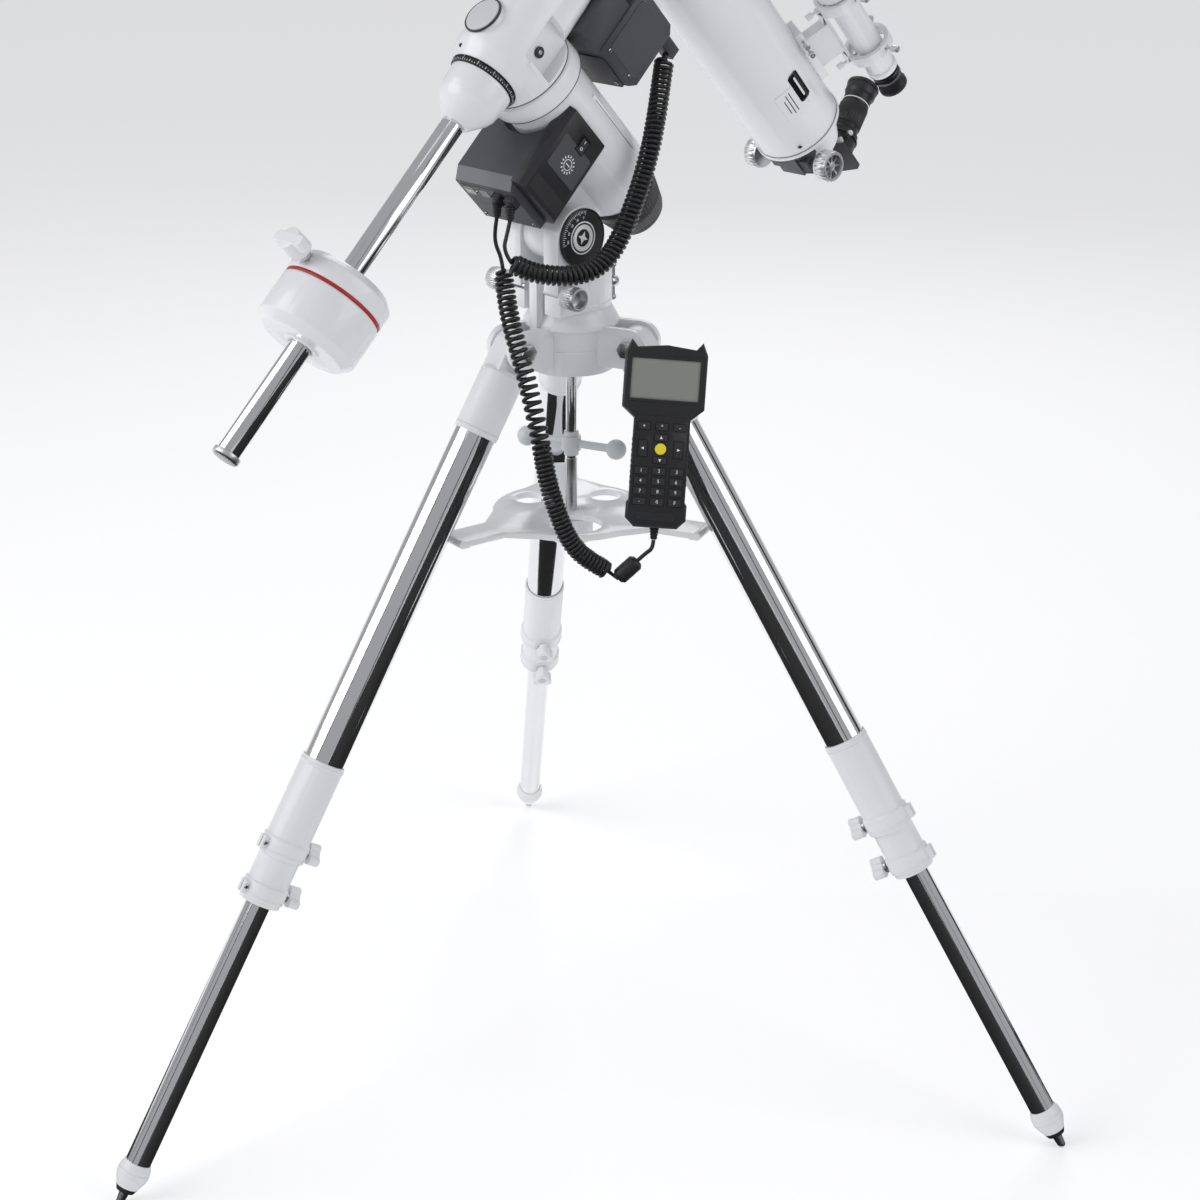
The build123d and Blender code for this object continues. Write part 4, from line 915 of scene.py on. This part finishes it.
def housing_details():
    lathe("boss_rim", [(17.0, 0), (18.9, 0), (18.9, 1.6), (17.9, 2.2), (17.0, 1.6)],
          HEAD @ shift(0, -40, 0) @ turn_about("X", 90), "ra", black(), steps=72)
    lathe("drum_seam", [(44.0, 33.3), (44.35, 33.3), (44.35, 33.9), (44.0, 33.9)],
          HEAD @ TO_Y, "ra", dark_ink_and_shade(), steps=96)
    lathe("drum_gap", [(42.0, 53.15), (46.1, 53.15), (46.1, 53.75), (42.0, 53.75)],
          HEAD @ TO_Y, "ra", dark_ink_and_shade(), steps=96)
    hole = head_side(29, 11, 6)
    lathe("recess_screw", [(0.01, -0.1), (5.2, -0.1), (5.2, 2.0), (4.4, 2.6), (0.01, 2.6)], hole,
          "ra", black(), steps=40)
    lathe("recess_screw_socket", [(0.01, 2.5), (2.4, 2.5), (2.4, 2.75), (0.01, 2.75)], hole,
          "ra", steel(), steps=6)
    at = HEAD @ turn_about("Z", -106) @ shift(37.4, 0, -29.5) @ look_along_x()
    prisms("declination_pointer", [[(-1.6, 0), (1.6, 0), (0, -3.0)]], -3.0, 0.25, at, "ra",
           dark_ink_and_shade(), bevel=0)
    at = head_side(38.0, 0, 0)
    prisms("polar_scale_line", [[(90, 17.6), (160, 17.6), (160, 18.0), (90, 18.0)]], -0.05, 0.12,
           at, "altitude", dark_ink_and_shade(), bevel=0)
    prisms("strip_plate", [rounded(126, 3, 44, 9, 1.5)], -0.05, 0.2, at, "altitude",
           pale_grey(), bevel=0.05)
    prisms("strip_plate_lines", [rounded(126, 5.0 - 2.1 * k, 36 - 8 * (k % 2), 0.7, 0.2)
                                 for k in range(3)], 0.15, 0.26, at, "altitude",
           dark_ink_and_shade(), bevel=0)
    lathe("end_cap_grip", [(33.0, 222), (34.4, 217.6), (34.9, 217.6), (28.5, 243), (27.4, 243)],
          HEAD @ TO_Y, "altitude", black(), steps=216, teeth=(54, 0.7, 28))
    lathe("end_cap_disc", [(0.01, 250.8), (19, 250.8), (19, 251.5), (17.8, 252), (0.01, 252)],
          HEAD @ TO_Y, "altitude", gloss_black(), steps=64)
    lathe("weight_stripe", [(47.8, -289.7), (48.35, -289.7), (48.35, -286.3), (47.8, -286.3)],
          HEAD, "weight", red(), steps=128)
    lathe("weight_collar", [(11.2, -338), (17.0, -338), (18.0, -337), (18.0, -336.6),
                            (11.2, -336.6)], HEAD, "weight", white(), steps=64)
    wing = HEAD @ shift(0, -77, -276)
    prisms("weight_knob_wings", [rounded(0, 0, 38, 11, 5.2)], -6.5, 6.5,
           wing @ turn_about("X", 90) @ shift(0, 0, -6.0), "weight_knob",
           white_plastic(), bevel=1.2)
    lathe("saddle_knob_knurl", [(8.2, 39.5), (9.6, 40.2), (9.6, 48.6), (8.2, 49.3)],
          HEAD @ shift(0, 20, 120) @ TO_X, "dec", black(), steps=120,
          teeth=(20, 0.9, 8.6))


# ---- detail pieces: telescope ---------------------------------------------------
def wrapped(name, centre_r, centre_angle, long, wide, corner, lift, thick, material,
            body="dec", radius=TUBE_R):
    """A rounded label that follows the tube: long along it and wide around it."""
    columns_count = 20
    rows = 24
    mesh = bpy.data.meshes.new(name)
    shape = bmesh.new()
    layers = []
    for rise in (lift, lift + thick):
        grid = []
        for i in range(columns_count + 1):
            u = -long / 2 + long * i / columns_count
            over = max(0.0, abs(u) - (long / 2 - corner))
            half = wide / 2 - corner + math.sqrt(max(0.0, corner**2 - over**2))
            line = []
            for j in range(rows + 1):
                v = -half + 2 * half * j / rows
                angle = math.radians(centre_angle) + v / radius
                reach = (radius + rise) * MM
                line.append(shape.verts.new(HEAD @ Vector((
                    reach * math.cos(angle), (centre_r + u) * MM,
                    TUBE_AXIS_D * MM + reach * math.sin(angle)))))
            grid.append(line)
        layers.append(grid)
    for grid in layers:
        for i in range(columns_count):
            for j in range(rows):
                shape.faces.new((grid[i][j], grid[i + 1][j], grid[i + 1][j + 1], grid[i][j + 1]))
    low, high = layers
    border = ([(i, 0) for i in range(columns_count)] + [(columns_count, j) for j in range(rows)]
              + [(i, rows) for i in range(columns_count, 0, -1)] + [(0, j) for j in range(rows, 0, -1)])
    for (a, b), (c, d) in zip(border, border[1:] + border[:1]):
        shape.faces.new((low[a][b], low[c][d], high[c][d], high[a][b]))
    bmesh.ops.recalc_face_normals(shape, faces=shape.faces)
    shape.to_mesh(mesh)
    shape.free()
    return finish_piece(name, mesh, body, material, smooth=True)


def telescope_details():
    wrapped("tube_sticker", 300, -21, 36, 30, 2.0, -0.02, 0.1, ink())
    wrapped("tube_badge", 291, -3, 36, 14, 3.0, 0.05, 0.25, gloss_black())
    wrapped("tube_badge_line", 291, -3, 26, 2.4, 1.0, 0.28, 0.1, ink())
    for index, (at, size) in enumerate(((-20, 26), (-25, 26), (-30, 18))):
        wrapped(f"sticker_line_{index}", 299 + index, at, size, 1.0, 0.3, 0.06, 0.06, dark_ink_and_shade())
    lathe("rear_flange_seam", [(45.6, 359.6), (46.15, 359.6), (46.15, 360.2), (45.6, 360.2)],
          ON_TUBE, "dec", dark_ink_and_shade(), steps=128)
    lathe("rear_flange", [(45.6, 360.4), (46.9, 360.6), (46.9, 364.2), (45.6, 364.6)],
          ON_TUBE, "dec", white(), steps=128)
    lathe("shade_lip", [(53.9, -450.6), (56.3, -450.6), (56.6, -449.5), (56.6, -446.5),
                        (56.0, -446), (53.9, -446)], ON_TUBE, "dec", white(),
          steps=128)
    lathe("shade_collar_seam", [(45.8, -317.2), (49.4, -317.2), (49.4, -317.9), (45.8, -317.9)],
          ON_TUBE, "dec", dark_ink_and_shade(), steps=128)
    lathe("tube_lining", [(53.2, -449), (53.9, -449), (53.9, -337), (53.2, -337)], ON_TUBE,
          "dec", black(), steps=96)
    spots = []
    for angle in (-45, 75, 195):
        a = math.radians(angle)
        spots.append(HEAD @ Matrix.Translation((TUBE_R * MM * math.cos(a), 0.352,
                                                (TUBE_AXIS_D + TUBE_R * math.sin(a)) * MM))
                     @ turn_about("Y", 90 - angle))
    screw_heads("flange_screws", spots, 2.6, "dec")
    for side, turn in (("right", 90), ("left", -90)):
        place = HEAD @ shift(0, 386, 178) @ turn_about("Y", turn)
        lathe(f"focus_knurl_{side}", [(13.2, 41), (15.8, 42), (15.8, 53.2), (13.2, 54.4)],
              place, "focus_knobs", silver(), steps=160, teeth=(20, 1.1, 14.6))
    lathe("drawtube_ring", [(20.3, 401.5), (21.4, 402), (21.4, 407.4), (20.3, 408)], ON_TUBE,
          "drawtube", silver(), steps=120, teeth=(40, 0.35, 20.8))
    for index, angle in enumerate((35, 155)):
        a = math.radians(angle)
        place = (HEAD @ Matrix.Translation((21.0 * MM * math.cos(a), 0.4046,
                                            (TUBE_AXIS_D + 21.0 * math.sin(a)) * MM))
                 @ turn_about("Y", 90 - angle))
        thumb_screw(f"drawtube_screw_{index}", place, "drawtube", 5.0)
    slanted = HEAD @ shift(0, 0, TUBE_AXIS_D) @ turn_about("Y", -10.5) @ shift(0, 436, 0)
    for index, angle in enumerate((-35, 215)):
        a = math.radians(angle)
        place = (slanted @ Matrix.Translation((17.9 * MM * math.cos(a), 17.9 * MM * math.sin(a),
                                               0.034))
                 @ turn_about("Z", angle) @ turn_about("Y", 90))
        thumb_screw(f"diagonal_screw_{index}", place, "diagonal", 5.0)
    lathe("diagonal_collar", [(17.8, 37.5), (18.9, 38), (18.9, 39.6), (17.8, 40)], slanted,
          "diagonal", gloss_black(), steps=72)
    lathe("eyepiece_grip", [(14.2, 54), (15.6, 55), (15.6, 80), (14.2, 81)], slanted,
          "eyepiece", rubber(), steps=216, teeth=(36, 0.6, 14.9))
    lathe("eyepiece_band", [(14.5, 84), (14.85, 84), (14.85, 85.2), (14.5, 85.2)], slanted,
          "eyepiece", ink(), steps=72)
    lathe("eyepiece_cup_roll", [(15.4, 104.5), (17.2, 105), (17.6, 107), (17.0, 109),
                                (13.0, 108.8)], slanted, "eyepiece", rubber(), steps=72)
    lathe("eyepiece_lens", [(0.01, 100.3), (10, 100.3), (10, 100.8), (0.01, 101.6)], slanted,
          "eyepiece", coated_glass(), steps=48)
    on_finder = HEAD @ shift(52, 0, 294) @ TO_Y
    lathe("finder_focus_ring", [(13.4, 375.5), (14.4, 376), (14.7, 384), (13.6, 384.6)],
          on_finder, "dec", gloss_black(), steps=160, teeth=(40, 0.4, 14.1))
    lathe("finder_collar", [(14.8, 365), (15.9, 365.4), (15.9, 371.4), (14.8, 371.9)],
          on_finder, "dec", white(), steps=72)
    lathe("finder_front_ring", [(16.9, 231.4), (19.4, 231.4), (19.7, 232.4), (19.7, 236),
                                (19.0, 236.5), (16.9, 236.5)], on_finder, "dec",
          black(), steps=72)
    shoe_screws = []
    for at in (272, 284):
        shoe_screws.append(HEAD @ shift(0, 0, TUBE_AXIS_D) @ turn_about("Y", 30)
                           @ shift(13, at, 49.5) @ turn_about("Y", 90))
    for index, place in enumerate(shoe_screws):
        thumb_screw(f"shoe_screw_{index}", place, "dec", 7.0)


def thumb_screw(name, place, body, reach):
    """A small silver screw with a knurled head, along its place's Z."""
    lathe(name, [(0.01, 0), (1.5, 0), (1.5, reach), (3.1, reach + 0.3), (3.1, reach + 5.6),
                 (2.7, reach + 6.0), (0.01, reach + 6.0)], place, body, silver(),
          steps=96, teeth=(16, 0.4, 2.9))


# ---- detail pieces: hand controller ---------------------------------------------
def handset_details():
    front = HANDSET @ shift(0, 0, HANDSET_FRONT)
    for name, half in zip(("high", "low"), frame_halves(0, 50, 68.5, 42.5, 2.6)):
        prisms(f"screen_bezel_{name}", [half], -1.0, 0.35, front, "handset",
               gloss_black(), bevel=0.2)
    prisms("screen_glass", [rounded(0, 50, 60, 34, 1.5)], -0.75, -0.45, front, "handset",
           screen_grey(), bevel=0.05)
    prisms("name_plate", [rounded(0, -76.5, 36, 8, 2.0)], -0.05, 0.45, front, "handset",
           gloss_black(), bevel=0.2)
    prisms("keypad_panel_edge", frame_halves(0, -26, 50.5, 86, 0.7), -0.05, 0.3, front,
           "handset", gloss_black(), bevel=0.1)
    for name, x in (("left", -26.1), ("right", 26.1)):
        prisms(f"grip_{name}", [rounded(x, -46 + 5 * k, 0.9, 2.6, 0.4) for k in range(9)],
               -18, -6, front, "handset", rubber(), bevel=0.2)
    top = front @ shift(0, 0, 1.2)
    digits = (("1", "2", "3"), ("4", "5", "6"), ("7", "8", "9"), ("-", "0", "F"))
    for row, line in zip((-34.5, -44.0, -53.5, -63.0), digits):
        for column, words in zip((-16.5, 0.0, 16.5), line):
            name = {"-": "dash"}.get(words, words)
            text_piece(f"legend_{name}", words, 4.4, top @ shift(column, row, 0), "handset_keys",
                       ink())
    for column, words, name in ((-16.5, "+", "plus"), (0, "*", "light"), (16.5, "-", "minus")):
        text_piece(f"legend_{name}", words, 4.8, top @ shift(column, 6.5, 0), "handset_keys",
                   ink())
    arrows = []
    for x, y, turn in ((0, -3.6, 90), (0, -24.4, 270), (-16.5, -14, 180), (16.5, -14, 0)):
        a = math.radians(turn)
        arrows.append([(x + 1.7 * math.cos(a + b), y + 1.7 * math.sin(a + b))
                       for b in (0, math.radians(130), math.radians(-130))])
    prisms("legend_arrows", arrows, -0.02, 0.12, top, "handset_keys", ink(),
           bevel=0)
    ribs = HANDSET @ shift(0, -87, 0) @ turn_about("X", 90)
    ribbed_relief("handset_relief", ribs, 4, 4.5, 0.35, 2.6, 0.4, 11, "handset")
    along = Vector((0.396, 0.648, 0.651)).normalized()
    side = along.cross(Vector((0, 0, 1))).normalized()
    bead = columns(side, along.cross(side), along, BEAD_START)
    lathe("bead_seam", [(7.8, 12.2), (8.25, 12.2), (8.25, 13.0), (7.8, 13.0)], bead, "root",
          dark_ink_and_shade(), steps=48)


tripod_details()
latitude_dial_marks()
knurled_screws()
setting_circle()
drive_box_details()
housing_details()
telescope_details()
handset_details()
